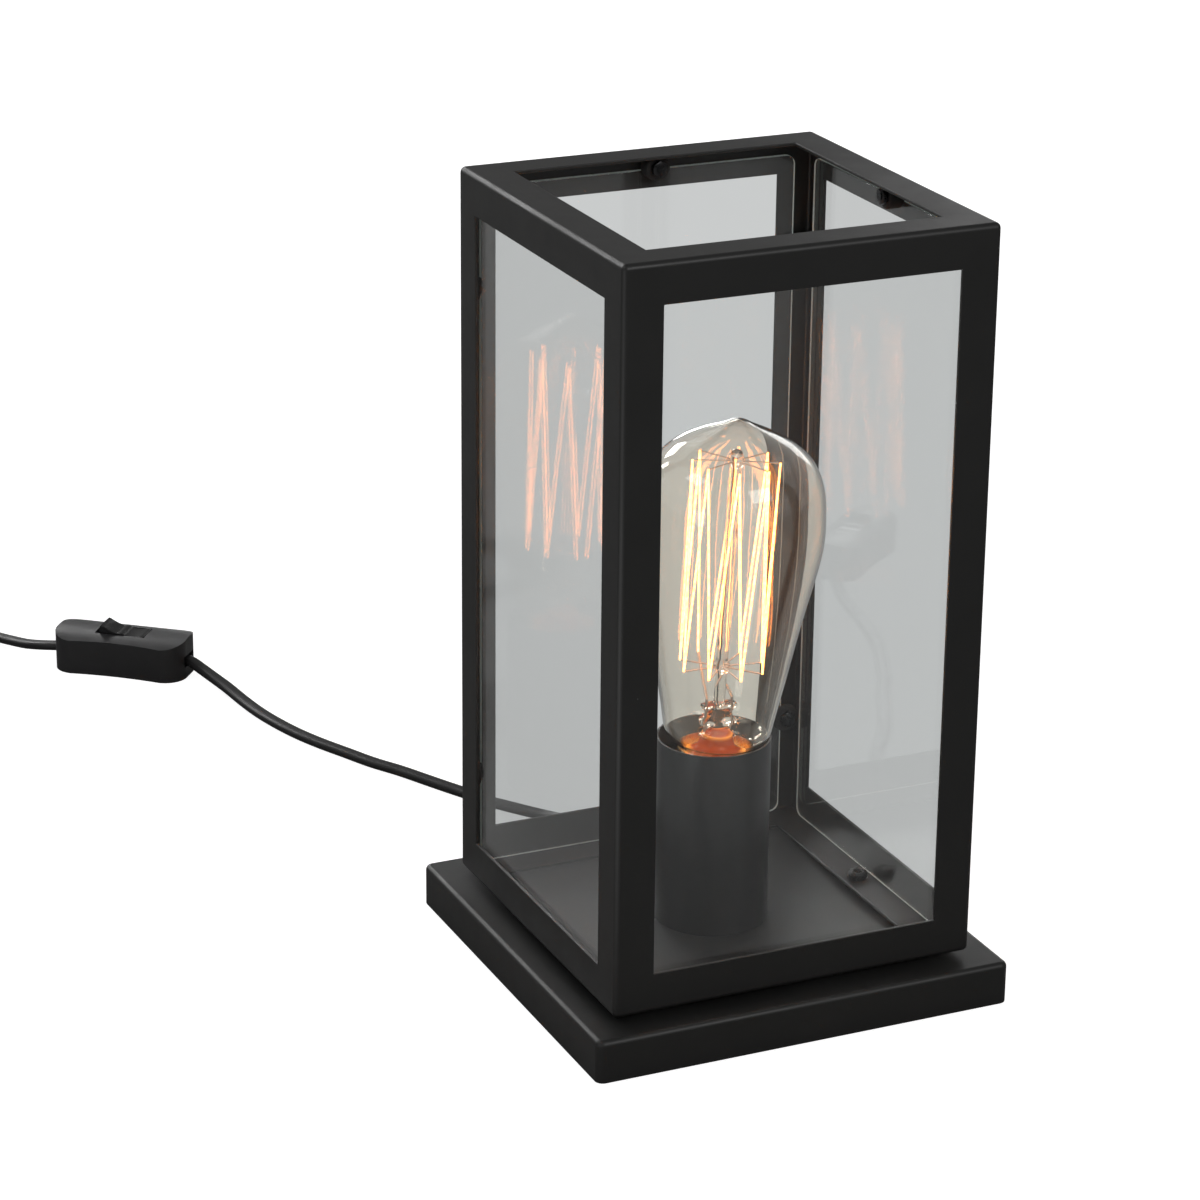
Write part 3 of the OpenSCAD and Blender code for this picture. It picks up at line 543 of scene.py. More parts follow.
BLACK_STEEL = PowderCoat("powder_coat_black")
SLEEVE_BLACK = PowderCoat("sleeve_matt_black", (0.014, 0.014, 0.0145), 0.5, 0.38, 0.000002)
DARK_FASTENER = Metal("blackened_fastener", (0.06, 0.06, 0.062), 0.24)
ZINC_STEEL = Metal("zinc_plated_steel", (0.62, 0.63, 0.65), 0.32)
BRASS = Metal("lampholder_brass", (0.78, 0.56, 0.24), 0.3)
CAP_BRASS = Metal("bulb_cap_brass", (0.80, 0.55, 0.27), 0.24)
SOLDER = Metal("solder", (0.66, 0.67, 0.69), 0.36)
NICKEL_WIRE = Metal("nickel_wire", (0.34, 0.31, 0.29), 0.34)
PLUG_PIN = Metal("plug_pin_nickel", (0.72, 0.70, 0.64), 0.22)
RUBBER = Moulded("black_rubber", (0.011, 0.011, 0.011), 0.55, 900.0, 0.00005)
BLACK_PLASTIC = Moulded("switch_black_plastic", (0.019, 0.019, 0.0205), 0.36, 1300.0, 0.00003)
GLOSS_PLASTIC = Moulded("rocker_gloss_plastic", (0.008, 0.008, 0.0085), 0.16, 1500.0, 0.00001)
HOLDER_PLASTIC = Moulded("holder_black_plastic", (0.01, 0.01, 0.01), 0.35)
WHITE_NYLON = Moulded("white_nylon", (0.72, 0.70, 0.64), 0.45)
CERAMIC = Moulded("holder_ceramic", (0.72, 0.69, 0.6), 0.3, 500.0, 0.00005, 0.5, 0.3)
BLACK_GLASS = Moulded("cap_black_glass", (0.006, 0.006, 0.009), 0.12, 300.0, 0.00004, 0.6)
CORD_BLACK = Moulded("cord_black_vinyl", (0.009, 0.009, 0.0095), 0.42, 700.0, 0.00003)
BROWN_WIRE = Moulded("brown_wire_vinyl", (0.14, 0.055, 0.02), 0.4)
BLUE_WIRE = Moulded("blue_wire_vinyl", (0.02, 0.09, 0.36), 0.4)
PANE_GLASS = ClearGlass("float_glass", (0.955, 0.963, 0.961))
PANE_EDGE = GroundEdge("ground_glass_edge")
BULB_GLASS = ClearGlass("blown_bulb_glass", (0.98, 0.95, 0.885), 0.0003, 30.0, 0.994)
INNER_GLASS = ClearGlass("stem_glass", (0.95, 0.93, 0.89), 0.0008, 140.0)
FILAMENT = GlowingWire("filament_glow", (1.0, 0.36, 0.085), (1.0, 0.25, 0.045), 14.0)


# ---------------------------------------------------------------- modelling by hand


def at_rest() -> None:
    """Leaves edit mode and deselects every object."""
    if bpy.context.object is not None and bpy.context.object.mode != "OBJECT":
        bpy.ops.object.mode_set(mode="OBJECT")
    bpy.ops.object.select_all(action="DESELECT")


def pick(piece: bpy.types.Object) -> bpy.types.Object:
    """Makes one object the selected and active one, and returns it.

    Args:
        piece: the object.

    Returns:
        The same object.
    """
    at_rest()
    piece.select_set(True)
    bpy.context.view_layer.objects.active = piece
    return piece


def named(name: str) -> bpy.types.Object:
    """Names the object that was just added, and its mesh.

    Args:
        name: the new name.

    Returns:
        The object.
    """
    piece = bpy.context.object
    piece.name = name
    piece.data.name = name
    return piece


def settle(piece: bpy.types.Object, matrix: Matrix | None = None) -> bpy.types.Object:
    """Applies a piece's place, so that its object sits at the origin.

    Args:
        piece: the object.
        matrix: a place to give it first.

    Returns:
        The same object.
    """
    pick(piece)
    if matrix is not None:
        piece.matrix_world = matrix
        bpy.context.view_layer.update()
    bpy.ops.object.transform_apply(location=True, rotation=True, scale=True)
    return piece


def block(name: str, centre: Sequence[float], size: Sequence[float]) -> bpy.types.Object:
    """Adds a block.

    Args:
        name: the piece's name.
        centre: its middle.
        size: its three sides.

    Returns:
        The object, settled.
    """
    at_rest()
    bpy.ops.mesh.primitive_cube_add(size=1.0, location=centre)
    piece = named(name)
    piece.scale = size
    return settle(piece)


def drum(
    name: str, centre: Sequence[float], radius: float, depth: float, sides: int
) -> bpy.types.Object:
    """Adds an upright cylinder.

    Args:
        name: the piece's name.
        centre: its middle.
        radius: its radius.
        depth: its height.
        sides: how many sides.

    Returns:
        The object, settled.
    """
    at_rest()
    bpy.ops.mesh.primitive_cylinder_add(vertices=sides, radius=radius, depth=depth, location=centre)
    return settle(named(name))


def choose(piece: bpy.types.Object, mode: str, test: Callable[..., bool]) -> None:
    """In edit mode, selects the faces, edges or corners that pass a test.

    Args:
        piece: the object in edit mode.
        mode: FACE, EDGE or VERT.
        test: takes the face, edge or corner.
    """
    bpy.ops.mesh.select_mode(type=mode)
    bpy.ops.mesh.select_all(action="DESELECT")
    mesh = bmesh.from_edit_mesh(piece.data)
    parts = {"FACE": mesh.faces, "EDGE": mesh.edges, "VERT": mesh.verts}[mode]
    for part in [part for part in parts if test(part)]:
        part.select_set(True)
    bmesh.update_edit_mesh(piece.data)


def faces_up(face: bmesh.types.BMFace) -> bool:
    """Whether a face points up."""
    return face.normal.z > FACING


def runs_along(axis: int) -> Callable[[bmesh.types.BMEdge], bool]:
    """A test for edges whose ends differ along an axis, where 0 is X and 2 is Z."""
    return lambda edge: abs(edge.verts[0].co[axis] - edge.verts[1].co[axis]) > SAME


def enter(piece: bpy.types.Object) -> bpy.types.Object:
    """Picks a piece and enters edit mode on it.

    Args:
        piece: the object.

    Returns:
        The same object.
    """
    pick(piece)
    bpy.ops.object.mode_set(mode="EDIT")
    return piece


def leave(piece: bpy.types.Object) -> bpy.types.Object:
    """Leaves edit mode."""
    bpy.ops.object.mode_set(mode="OBJECT")
    return piece


def round_off(
    piece: bpy.types.Object, test: Callable[[bmesh.types.BMEdge], bool], radius: float, steps: int
) -> None:
    """Rounds the edges that pass a test.

    Args:
        piece: the object.
        test: takes an edge.
        radius: how far the round reaches from the edge.
        steps: segments across the round.
    """
    enter(piece)
    choose(piece, "EDGE", test)
    bpy.ops.mesh.bevel(offset=radius, segments=steps, profile=0.5, affect="EDGES")
    leave(piece)


def apply(piece: bpy.types.Object, kind: str, **options: object) -> bpy.types.Object:
    """Adds a modifier and applies it.

    Args:
        piece: the object.
        kind: the modifier's type.
        options: its settings.

    Returns:
        The same object.
    """
    pick(piece)
    modifier = piece.modifiers.new(kind.title(), kind)
    for name, value in options.items():
        setattr(modifier, name, value)
    bpy.ops.object.modifier_apply(modifier=modifier.name)
    return piece


def soften(
    piece: bpy.types.Object, radius: float, steps: int = 2, angle: float = 50.0
) -> bpy.types.Object:
    """Softens every edge that turns by more than angle degrees.

    Args:
        piece: the object.
        radius: width of the softened edge.
        steps: segments across it.
        angle: the least turn, in degrees.

    Returns:
        The same object.
    """
    return apply(
        piece,
        "BEVEL",
        width=radius,
        segments=steps,
        limit_method="ANGLE",
        angle_limit=math.radians(angle),
        use_clamp_overlap=True,
        harden_normals=False,
    )


def smooth(piece: bpy.types.Object, angle: float = 35.0) -> bpy.types.Object:
    """Shades a piece smooth, apart from edges that turn by more than angle degrees.

    Args:
        piece: the object.
        angle: the least turn that stays sharp, in degrees.

    Returns:
        The same object.
    """
    pick(piece)
    bpy.ops.object.shade_smooth_by_angle(angle=math.radians(angle))
    return piece


def crisp(piece: bpy.types.Object, angle: float = 40.0) -> bpy.types.Object:
    """Shades a piece smooth, with the rounds turning and the large faces staying flat.

    Args:
        piece: the object.
        angle: edges that turn by more than this, in degrees, stay sharp.

    Returns:
        The same object.
    """
    smooth(piece, angle)
    return apply(piece, "WEIGHTED_NORMAL", mode="FACE_AREA", weight=100, keep_sharp=True)


def tidy_mesh(piece: bpy.types.Object) -> bpy.types.Object:
    """Merges doubled corners and points every face outwards.

    Args:
        piece: the object.

    Returns:
        The same object.
    """
    enter(piece)
    bpy.ops.mesh.select_all(action="SELECT")
    bpy.ops.mesh.remove_doubles(threshold=MERGE)
    bpy.ops.mesh.normals_make_consistent(inside=False)
    return leave(piece)


def turned(
    name: str, outline: Sequence[tuple[float, float]], steps: int, closed: bool = True
) -> bpy.types.Object:
    """Turns an outline round the Z axis, as on a lathe.

    Args:
        name: the piece's name.
        outline: radius and height of each corner.
        steps: how many steps a full turn has.
        closed: whether the outline's ends join.

    Returns:
        The turned object, round the origin.
    """
    at_rest()
    bpy.ops.mesh.primitive_plane_add(size=0.001)
    piece = named(name)
    enter(piece)
    bpy.ops.mesh.select_all(action="SELECT")
    bpy.ops.mesh.merge(type="CENTER")
    bpy.ops.mesh.select_mode(type="VERT")
    bpy.ops.mesh.select_all(action="SELECT")
    bpy.ops.transform.translate(value=(outline[0][0], 0.0, outline[0][1]))
    last = outline[0]
    for corner in outline[1:]:
        step = (corner[0] - last[0], 0.0, corner[1] - last[1])
        bpy.ops.mesh.extrude_region_move(TRANSFORM_OT_translate={"value": step})
        last = corner
    bpy.ops.mesh.select_all(action="SELECT")
    if closed:
        ends = (Vector((outline[0][0], 0.0, outline[0][1])), Vector((last[0], 0.0, last[1])))
        choose(piece, "VERT", lambda v: min((v.co - end).length for end in ends) < 1e-7)
        if (ends[0] - ends[1]).length > 1e-7 and min(outline[0][0], last[0]) > 1e-7:
            bpy.ops.mesh.edge_face_add()
    bpy.ops.mesh.select_all(action="SELECT")
    bpy.ops.mesh.spin(steps=steps, angle=math.tau, center=(0, 0, 0), axis=(0, 0, 1))
    leave(piece)
    return tidy_mesh(piece)


def twin(piece: bpy.types.Object) -> bpy.types.Object:
    """Copies a piece, with its own mesh.

    Args:
        piece: the piece to copy.

    Returns:
        The copy.
    """
    copy = piece.copy()
    copy.data = piece.data.copy()
    bpy.context.scene.collection.objects.link(copy)
    return copy


def copies(piece: bpy.types.Object, places: Iterable[Matrix]) -> bpy.types.Object:
    """Copies a piece to several places, each copy with its own mesh, and joins them.

    Args:
        piece: the piece to copy, which is used up.
        places: where each copy goes.

    Returns:
        One object with all copies.
    """
    name = piece.name
    made = [settle(twin(piece), place) for place in places]
    bpy.data.objects.remove(piece)
    return joined(name, made)


def joined(name: str, parts: Sequence[bpy.types.Object]) -> bpy.types.Object:
    """Joins objects into one.

    Args:
        name: the joined piece's name.
        parts: the objects.

    Returns:
        The joined object.
    """
    at_rest()
    for part in parts:
        part.select_set(True)
    bpy.context.view_layer.objects.active = parts[0]
    if len(parts) > 1:
        bpy.ops.object.join()
    return named(name)


def from_solid(
    node: str, name: str, radius: float, steps: int, angle: float
) -> bpy.types.Object:
    """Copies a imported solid's mesh, merges its loose faces and softens its edges.

    Args:
        node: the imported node.
        name: the new piece's name.
        radius: width of the softened edges.
        steps: segments across them.
        angle: the least turn that is softened, in degrees.

    Returns:
        The new object.
    """
    solid = bpy.data.objects[node]
    piece = bpy.data.objects.new(name, solid.data.copy())
    bpy.context.scene.collection.objects.link(piece)
    piece.data.name = name
    piece.data.materials.clear()
    enter(piece)
    bpy.ops.mesh.customdata_custom_splitnormals_clear()
    bpy.ops.mesh.select_all(action="SELECT")
    bpy.ops.mesh.remove_doubles(threshold=MERGE)
    bpy.ops.mesh.dissolve_limited(angle_limit=math.radians(1.0))
    leave(piece)
    soften(piece, radius, steps, angle)
    return crisp(piece)


def dress(
    piece: bpy.types.Object, finish: Finish, body: Body, nodes: Sequence[str] = ()
) -> bpy.types.Object:
    """Finishes a piece: its material, the body that it rides on and the nodes it stands for.

    Args:
        piece: the object.
        finish: its finish.
        body: the body that carries it.
        nodes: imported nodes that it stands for.

    Returns:
        The same object.
    """
    if not piece.data.materials:
        piece.data.materials.append(finish.material())
    if nodes:
        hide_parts(*nodes)
    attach(piece, body.value)
    log.info("made %s on %s, for %s", piece.name, body.value, ", ".join(nodes) or "no node")
    return piece


def repaint(node: str, finish: Finish) -> None:
    """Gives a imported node, whose shape stays, its finish.

    Args:
        node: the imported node.
        finish: its finish.
    """
    for slot in bpy.data.objects[node].material_slots:
        slot.material = finish.material()
    log.info("finished %s with %s", node, finish.name)


def curve_through(points: Sequence[Vector], steps: int) -> list[Vector]:
    """A smooth line through points.

    Args:
        points: the points.
        steps: how many steps each stretch gets.

    Returns:
        The line's points.
    """
    line = []
    for i in range(len(points) - 1):
        a, b = points[max(i - 1, 0)], points[i]
        c, d = points[i + 1], points[min(i + 2, len(points) - 1)]
        for k in range(steps):
            t = k / steps
            square, cube = 2 * a - 5 * b + 4 * c - d, 3 * b - a - 3 * c + d
            line.append(0.5 * (2 * b + (c - a) * t + square * t**2 + cube * t**3))
    line.append(points[-1])
    return line


def evenly(line: Sequence[Vector], step: float) -> list[Vector]:
    """Points at even steps along a line.

    Args:
        line: the line's points.
        step: about how far apart the new points are.

    Returns:
        The new points, with both ends.
    """
    reach = [0.0]
    for a, b in zip(line, line[1:], strict=False):
        reach.append(reach[-1] + (b - a).length)
    count = max(2, round(reach[-1] / step))
    out, j = [], 0
    for i in range(count + 1):
        want = reach[-1] * i / count
        while j < len(line) - 2 and reach[j + 1] < want:
            j += 1
        span = reach[j + 1] - reach[j] or 1.0
        out.append(line[j].lerp(line[j + 1], min(1.0, (want - reach[j]) / span)))
    return out


@dataclass
class Boot:
    """The ribbed, tapered boot that guards a cord where it leaves a housing."""

    length: float
    radius: float
    taper: float
    end_radius: float
    ribs: int
    land: float
    slope: float
    groove: float
    cut: float

    def outline(self) -> list[tuple[float, float]]:
        """Half outline of the ribs, from the housing to the free end.

        Returns:
            Radius and height of each corner.
        """
        corners = []
        for k in range(self.ribs):
            low, high = k / self.ribs, (k + self.land) / self.ribs
            valley = (high + self.slope, high + self.groove / self.ribs)
            for share, cut in ((low, 0.0), (high, 0.0), *((v, self.cut) for v in valley)):
                radius = self.radius - self.taper * share - cut
                corners.append((radius, self.length * min(1.0, share)))
        return corners + [(self.end_radius, self.length), (0.0, self.length)]


PLUG_BOOT = Boot(24 * MM, 5.6 * MM, 1.8 * MM, 3.6 * MM, 6, 0.62, 0.05, 0.3, 0.7 * MM)
TRAY_BOOT = Boot(22 * MM, 6.0 * MM, 2.4 * MM, 3.4 * MM, 5, 0.6, 0.04, 0.28, 0.6 * MM)


# ---------------------------------------------------------------- cage, tray and panes


@dataclass
class Cage:
    """The welded cage of angle bars, dressed as one seamless frame."""

    width: float = 135 * MM
    foot: float = 17.4 * MM
    height: float = 260.6 * MM
    leg: float = 14.3 * MM
    sheet: float = 1.2 * MM
    bend: float = 2.0 * MM
    screw_at: float = 59.0 * MM
    flange_top: float = 18.6 * MM
    head_radius: float = 3.6 * MM
    head_height: float = 2.6 * MM
    head_rim: float = 0.9 * MM
    head_crown: float = 0.35 * MM
    recess_rim: float = 1.1 * MM
    recess_depth: float = 1.3 * MM
    shank_radius: float = 2.0 * MM
    shank_length: float = 8.2 * MM

    def bars(self) -> tuple[str, ...]:
        """The names of the twelve bars.

        Returns:
            The nodes, posts first.
        """
        ends = ("front_left", "front_right", "back_left", "back_right")
        sides = ("front", "right", "back", "left")
        posts = tuple(f"post_{end}" for end in ends)
        return posts + tuple(f"{rail}_rail_{side}" for rail in ("top", "bottom") for side in sides)

    def frame(self) -> bpy.types.Object:
        """Builds the frame: a rounded block, cut open on its six faces and given a thickness.

        Returns:
            The frame.
        """
        middle = (0.0, 0.0, self.foot + self.height / 2)
        piece = block("cage_frame", middle, (self.width, self.width, self.height))
        round_off(piece, lambda edge: True, self.bend, 5)
        enter(piece)
        least = (self.width - 3 * self.bend) ** 2
        choose(piece, "FACE", lambda face: face.calc_area() > least)
        rim = self.leg - self.bend
        bpy.ops.mesh.inset(thickness=rim, use_individual=True, use_even_offset=True)
        bpy.ops.mesh.delete(type="FACE")
        leave(piece)
        apply(piece, "SOLIDIFY", thickness=self.sheet, offset=-1.0, use_even_offset=True)
        soften(piece, 0.28 * MM, 2, 60.0)
        return crisp(piece)

    def screws(self) -> bpy.types.Object:
        """Builds the four pan-head screws that hold the cage to the tray.

        Returns:
            The screws, as one object.
        """
        tall = self.head_height
        head = drum("cage_screw_heads", (0, 0, tall / 2), self.head_radius, tall, 32)
        enter(head)
        choose(head, "FACE", faces_up)
        bpy.ops.mesh.inset(thickness=self.head_rim)
        bpy.ops.transform.translate(value=(0, 0, self.head_crown))
        bpy.ops.mesh.inset(thickness=self.recess_rim)
        down = (0, 0, -self.recess_depth)
        bpy.ops.mesh.extrude_region_move(TRANSFORM_OT_translate={"value": down})
        leave(head)
        settle(head, Matrix.Scale(tall / (tall + self.head_crown), 4, (0, 0, 1)))
        soften(head, 0.3 * MM, 3, 30.0)
        deep = self.shank_length
        shank = drum("shank", (0, 0, -deep / 2), self.shank_radius, deep, 24)
        screw = smooth(joined("cage_screw_set", [head, shank]))
        places = [
            side.matrix() @ Matrix.Translation((0, -self.screw_at, self.flange_top))
            for side in Turn
        ]
        return copies(screw, places)

    def build(self) -> list[bpy.types.Object]:
        """Builds and dresses the cage.

        Returns:
            Its pieces.
        """
        pieces = [
            dress(self.frame(), BLACK_STEEL, Body.LANTERN, self.bars()),
            dress(self.screws(), DARK_FASTENER, Body.LANTERN, ["cage_screws"]),
        ]
        repaint("cage_nuts", ZINC_STEEL)
        repaint("cage_spacers", RUBBER)
        return pieces


@dataclass
class Tray:
    """The folded tray under the cage, with its bottom plate and feet."""

    width: float = 156 * MM
    foot: float = 0.3 * MM
    height: float = 15.4 * MM
    sheet: float = 1.2 * MM
    fold: float = 2.0 * MM
    corner: float = 3.0 * MM
    pad_radius: float = 6 * MM
    pad_height: float = 0.8 * MM
    pad_at: float = 56 * MM

    def shell(self) -> bpy.types.Object:
        """Builds the tray: a block with rounded corners and top edge, open below.

        Returns:
            The tray.
        """
        middle = (0.0, 0.0, self.foot + self.height / 2)
        piece = block("tray_shell", middle, (self.width, self.width, self.height))
        top = self.foot + self.height - SAME
        round_off(piece, runs_along(2), self.corner, 6)
        round_off(piece, lambda e: min(v.co.z for v in e.verts) > top, self.fold, 5)
        enter(piece)
        choose(piece, "FACE", lambda face: face.normal.z < -FACING)
        bpy.ops.mesh.delete(type="FACE")
        leave(piece)
        apply(piece, "SOLIDIFY", thickness=self.sheet, offset=-1.0, use_even_offset=True)
        soften(piece, 0.25 * MM, 2, 60.0)
        return crisp(piece)

    def feet(self) -> bpy.types.Object:
        """Builds the four stuck-on foot pads, slightly domed at the rim.

        Returns:
            The pads, as one object.
        """
        tall, at = self.pad_height, self.pad_at
        pad = drum("foot_pad_set", (0, 0, tall / 2), self.pad_radius, tall, 40)
        soften(pad, 0.22 * MM, 2, 60.0)
        spots = [(x * at, y * at, 0) for x in (-1, 1) for y in (-1, 1)]
        return copies(smooth(pad), [Matrix.Translation(spot) for spot in spots])

    def build(self) -> list[bpy.types.Object]:
        """Builds and dresses the tray.

        Returns:
            Its pieces.
        """
        plate = from_solid("base_cover", "bottom_plate", 0.2 * MM, 1, 60.0)
        pieces = [
            dress(self.shell(), BLACK_STEEL, Body.LANTERN, ["base_tray"]),
            dress(plate, BLACK_STEEL, Body.LANTERN, ["base_cover"]),
            dress(self.feet(), RUBBER, Body.LANTERN, ["foot_pads"]),
        ]
        for node in ("cover_standoffs", "cover_screws", "clamp_screws"):
            repaint(node, ZINC_STEEL)
        for node in ("cord_anchor", "cord_clamp", "terminal_block"):
            repaint(node, WHITE_NYLON)
        repaint("terminal_screws", BRASS)
        repaint("live_wires", BROWN_WIRE)
        repaint("neutral_wires", BLUE_WIRE)
        return pieces


@dataclass
class Panes:
    """The four panes with the studs, washers, bumpers and nuts that hold them."""

    half_width: float = 59.3 * MM
    inner_face: float = 64.1 * MM
    thickness: float = 2.0 * MM
    foot: float = 18.921 * MM
    top: float = 270.6 * MM
    corner: float = 3.5 * MM
    stud_x: float = 60.8 * MM
    stud_heights: tuple[float, float] = (56.6 * MM, 237.0 * MM)
    bumper_x: float = 3.4 * MM
    bumper_z: float = 272.2 * MM
    washer_radius: float = 5.3 * MM
    washer_thickness: float = 1.5 * MM
    washer_seat: float = 3.4 * MM
    bumper_radius: float = 4.6 * MM
    bumper_thickness: float = 5.5 * MM
    bumper_seat: float = 3.3 * MM
    seat_depth: float = 0.15 * MM
    nut_radius: float = 3.1 * MM
    nut_thickness: float = 1.8 * MM

    def pane(self) -> bpy.types.Object:
        """Builds one pane with rounded corners and a ground, softened edge.

        Returns:
            The front pane.
        """
        middle = (0.0, -self.inner_face - self.thickness / 2, (self.foot + self.top) / 2)
        piece = block("pane", middle, (2 * self.half_width, self.thickness, self.top - self.foot))
        round_off(piece, runs_along(1), self.corner, 8)
        soften(piece, 0.3 * MM, 2, 60.0)
        for finish in (PANE_GLASS, PANE_EDGE):
            piece.data.materials.append(finish.material())
        enter(piece)
        choose(piece, "FACE", lambda face: abs(face.normal.y) < FACING)
        piece.active_material_index = 1
        bpy.ops.object.material_slot_assign()
        leave(piece)
        return crisp(piece, 60.0)

    def inwards(self, x: float, depth: float, z: float) -> list[Matrix]:
        """Places on all four sides for a shape that points inwards from the front.

        Args:
            x: distance from the middle of the side.
            depth: distance of its outer end from the lamp's axis.
            z: height.

        Returns:
            One matrix for each side.
        """
        own = Matrix.Translation((x, -depth, z)) @ Matrix.Rotation(math.radians(-90), 4, "X")
        return [side.matrix() @ own for side in Turn]

    def spots(self, side_depth: float, top_depth: float) -> list[Matrix]:
        """Places for what sits on every stud.

        Args:
            side_depth: distance from the lamp's axis on the side studs.
            top_depth: distance from the lamp's axis on the top studs.

        Returns:
            One matrix for each stud.
        """
        top = self.inwards(-self.bumper_x, top_depth, self.bumper_z)
        return self.side_spots(side_depth) + top

    def side_spots(self, depth: float) -> list[Matrix]:
        """Places on the eight side studs, at a distance from the lamp's axis."""
        heights = self.stud_heights
        return [place for z in heights for place in self.inwards(-self.stud_x, depth, z)]

    def washer(self, name: str, radius: float, thickness: float, hollow: float) -> bpy.types.Object:
        """Builds a round washer with a soft rim and a shallow seat for its nut.

        Args:
            name: the piece's name.
            radius: its outer radius.
            thickness: its thickness.
            hollow: radius of the seat.

        Returns:
            The washer, upright on the origin.
        """
        piece = drum(name, (0, 0, thickness / 2), radius, thickness, 40)
        enter(piece)
        choose(piece, "FACE", faces_up)
        bpy.ops.mesh.inset(thickness=radius - hollow)
        bpy.ops.transform.translate(value=(0, 0, -self.seat_depth))
        leave(piece)
        soften(piece, min(0.7 * MM, 0.4 * thickness), 3, 50.0)
        return smooth(piece)

    def nut(self) -> bpy.types.Object:
        """Builds a hexagon nut with softened edges.

        Returns:
            The nut, upright on the origin.
        """
        thick = self.nut_thickness
        body = drum("stud_nut_set", (0, 0, thick / 2), self.nut_radius, thick, 6)
        soften(body, 0.25 * MM, 2, 30.0)
        return smooth(body, 25.0)

    def build(self) -> list[bpy.types.Object]:
        """Builds and dresses the panes and their fasteners.

        Returns:
            Their pieces.
        """
        pieces = []
        first = self.pane()
        for side in Turn:
            copy = twin(first)
            word = side.name.lower()
            copy.name = copy.data.name = f"pane_{word}"
            settle(copy, side.matrix())
            pieces.append(dress(copy, PANE_GLASS, Body.LANTERN, [f"glass_{word}"]))
        bpy.data.objects.remove(first)
        face, thin, thick = self.inner_face, self.washer_thickness, self.bumper_thickness
        washer = self.washer("side_washer_set", self.washer_radius, thin, self.washer_seat)
        washers = copies(washer, self.side_spots(face))
        bumper = self.washer("top_bumper_set", self.bumper_radius, thick, self.bumper_seat)
        bumpers = copies(bumper, self.inwards(-self.bumper_x, face, self.bumper_z))
        nuts = copies(self.nut(), self.spots(face - thin, face - thick))
        pieces += [
            dress(washers, RUBBER, Body.LANTERN, ["side_washers"]),
            dress(bumpers, RUBBER, Body.LANTERN, ["top_bumpers"]),
            dress(nuts, DARK_FASTENER, Body.LANTERN, ["stud_nuts"]),
        ]
        repaint("pane_studs", DARK_FASTENER)
        return pieces


# ---------------------------------------------------------------- lampholder and bulb


@dataclass
class Lean:
    """The slight lean of the bulb and of the holder inside its upright sleeve."""

    angle: float = 2.6
    direction: float = -24.4
    height: float = 60 * MM

    def matrix(self, height: float = 0.0) -> Matrix:
        """The place of a shape that stands at height on the leaning axis.

        Args:
            height: height along the axis, in the upright frame.

        Returns:
            The matrix.
        """
        turn = Matrix.Rotation(math.radians(self.direction), 4, "Z")
        tip = turn @ Matrix.Rotation(math.radians(self.angle), 4, "Y") @ turn.inverted()
        up = Matrix.Translation((0, 0, self.height))
        return up @ tip @ up.inverted() @ Matrix.Translation((0, 0, height))


LEAN = Lean()


@dataclass
class Lampholder:
    """The black sleeve and the lampholder in it."""

    radius: float = 20.15 * MM
    wall: float = 0.8 * MM
    foot: float = 15.7 * MM
    height: float = 68.2 * MM

    def sleeve(self) -> bpy.types.Object:
        """Builds the sleeve: an open cylinder of thin sheet with a softened rim.

        Returns:
            The sleeve.
        """
        piece = drum("sleeve", (0, 0, self.foot + self.height / 2), self.radius, self.height, 96)
        enter(piece)
        choose(piece, "FACE", faces_up)
        bpy.ops.mesh.delete(type="FACE")
        leave(piece)
        apply(piece, "SOLIDIFY", thickness=self.wall, offset=-1.0, use_even_offset=True)
        soften(piece, 0.2 * MM, 2, 60.0)
        return smooth(piece, 40.0)

    def build(self) -> list[bpy.types.Object]:
        """Builds and dresses the lampholder.

        Returns:
            Its pieces.
        """
        nodes = ["lampholder_sleeve"]
        pieces = [dress(self.sleeve(), SLEEVE_BLACK, Body.LANTERN, nodes)]
        repaint("lampholder_body", HOLDER_PLASTIC)
        repaint("lampholder_core", CERAMIC)
        for node in ("lampholder_shell", "lampholder_contact"):
            repaint(node, BRASS)
        for node in ("nipple", "nipple_nut"):
            repaint(node, ZINC_STEEL)
        return pieces


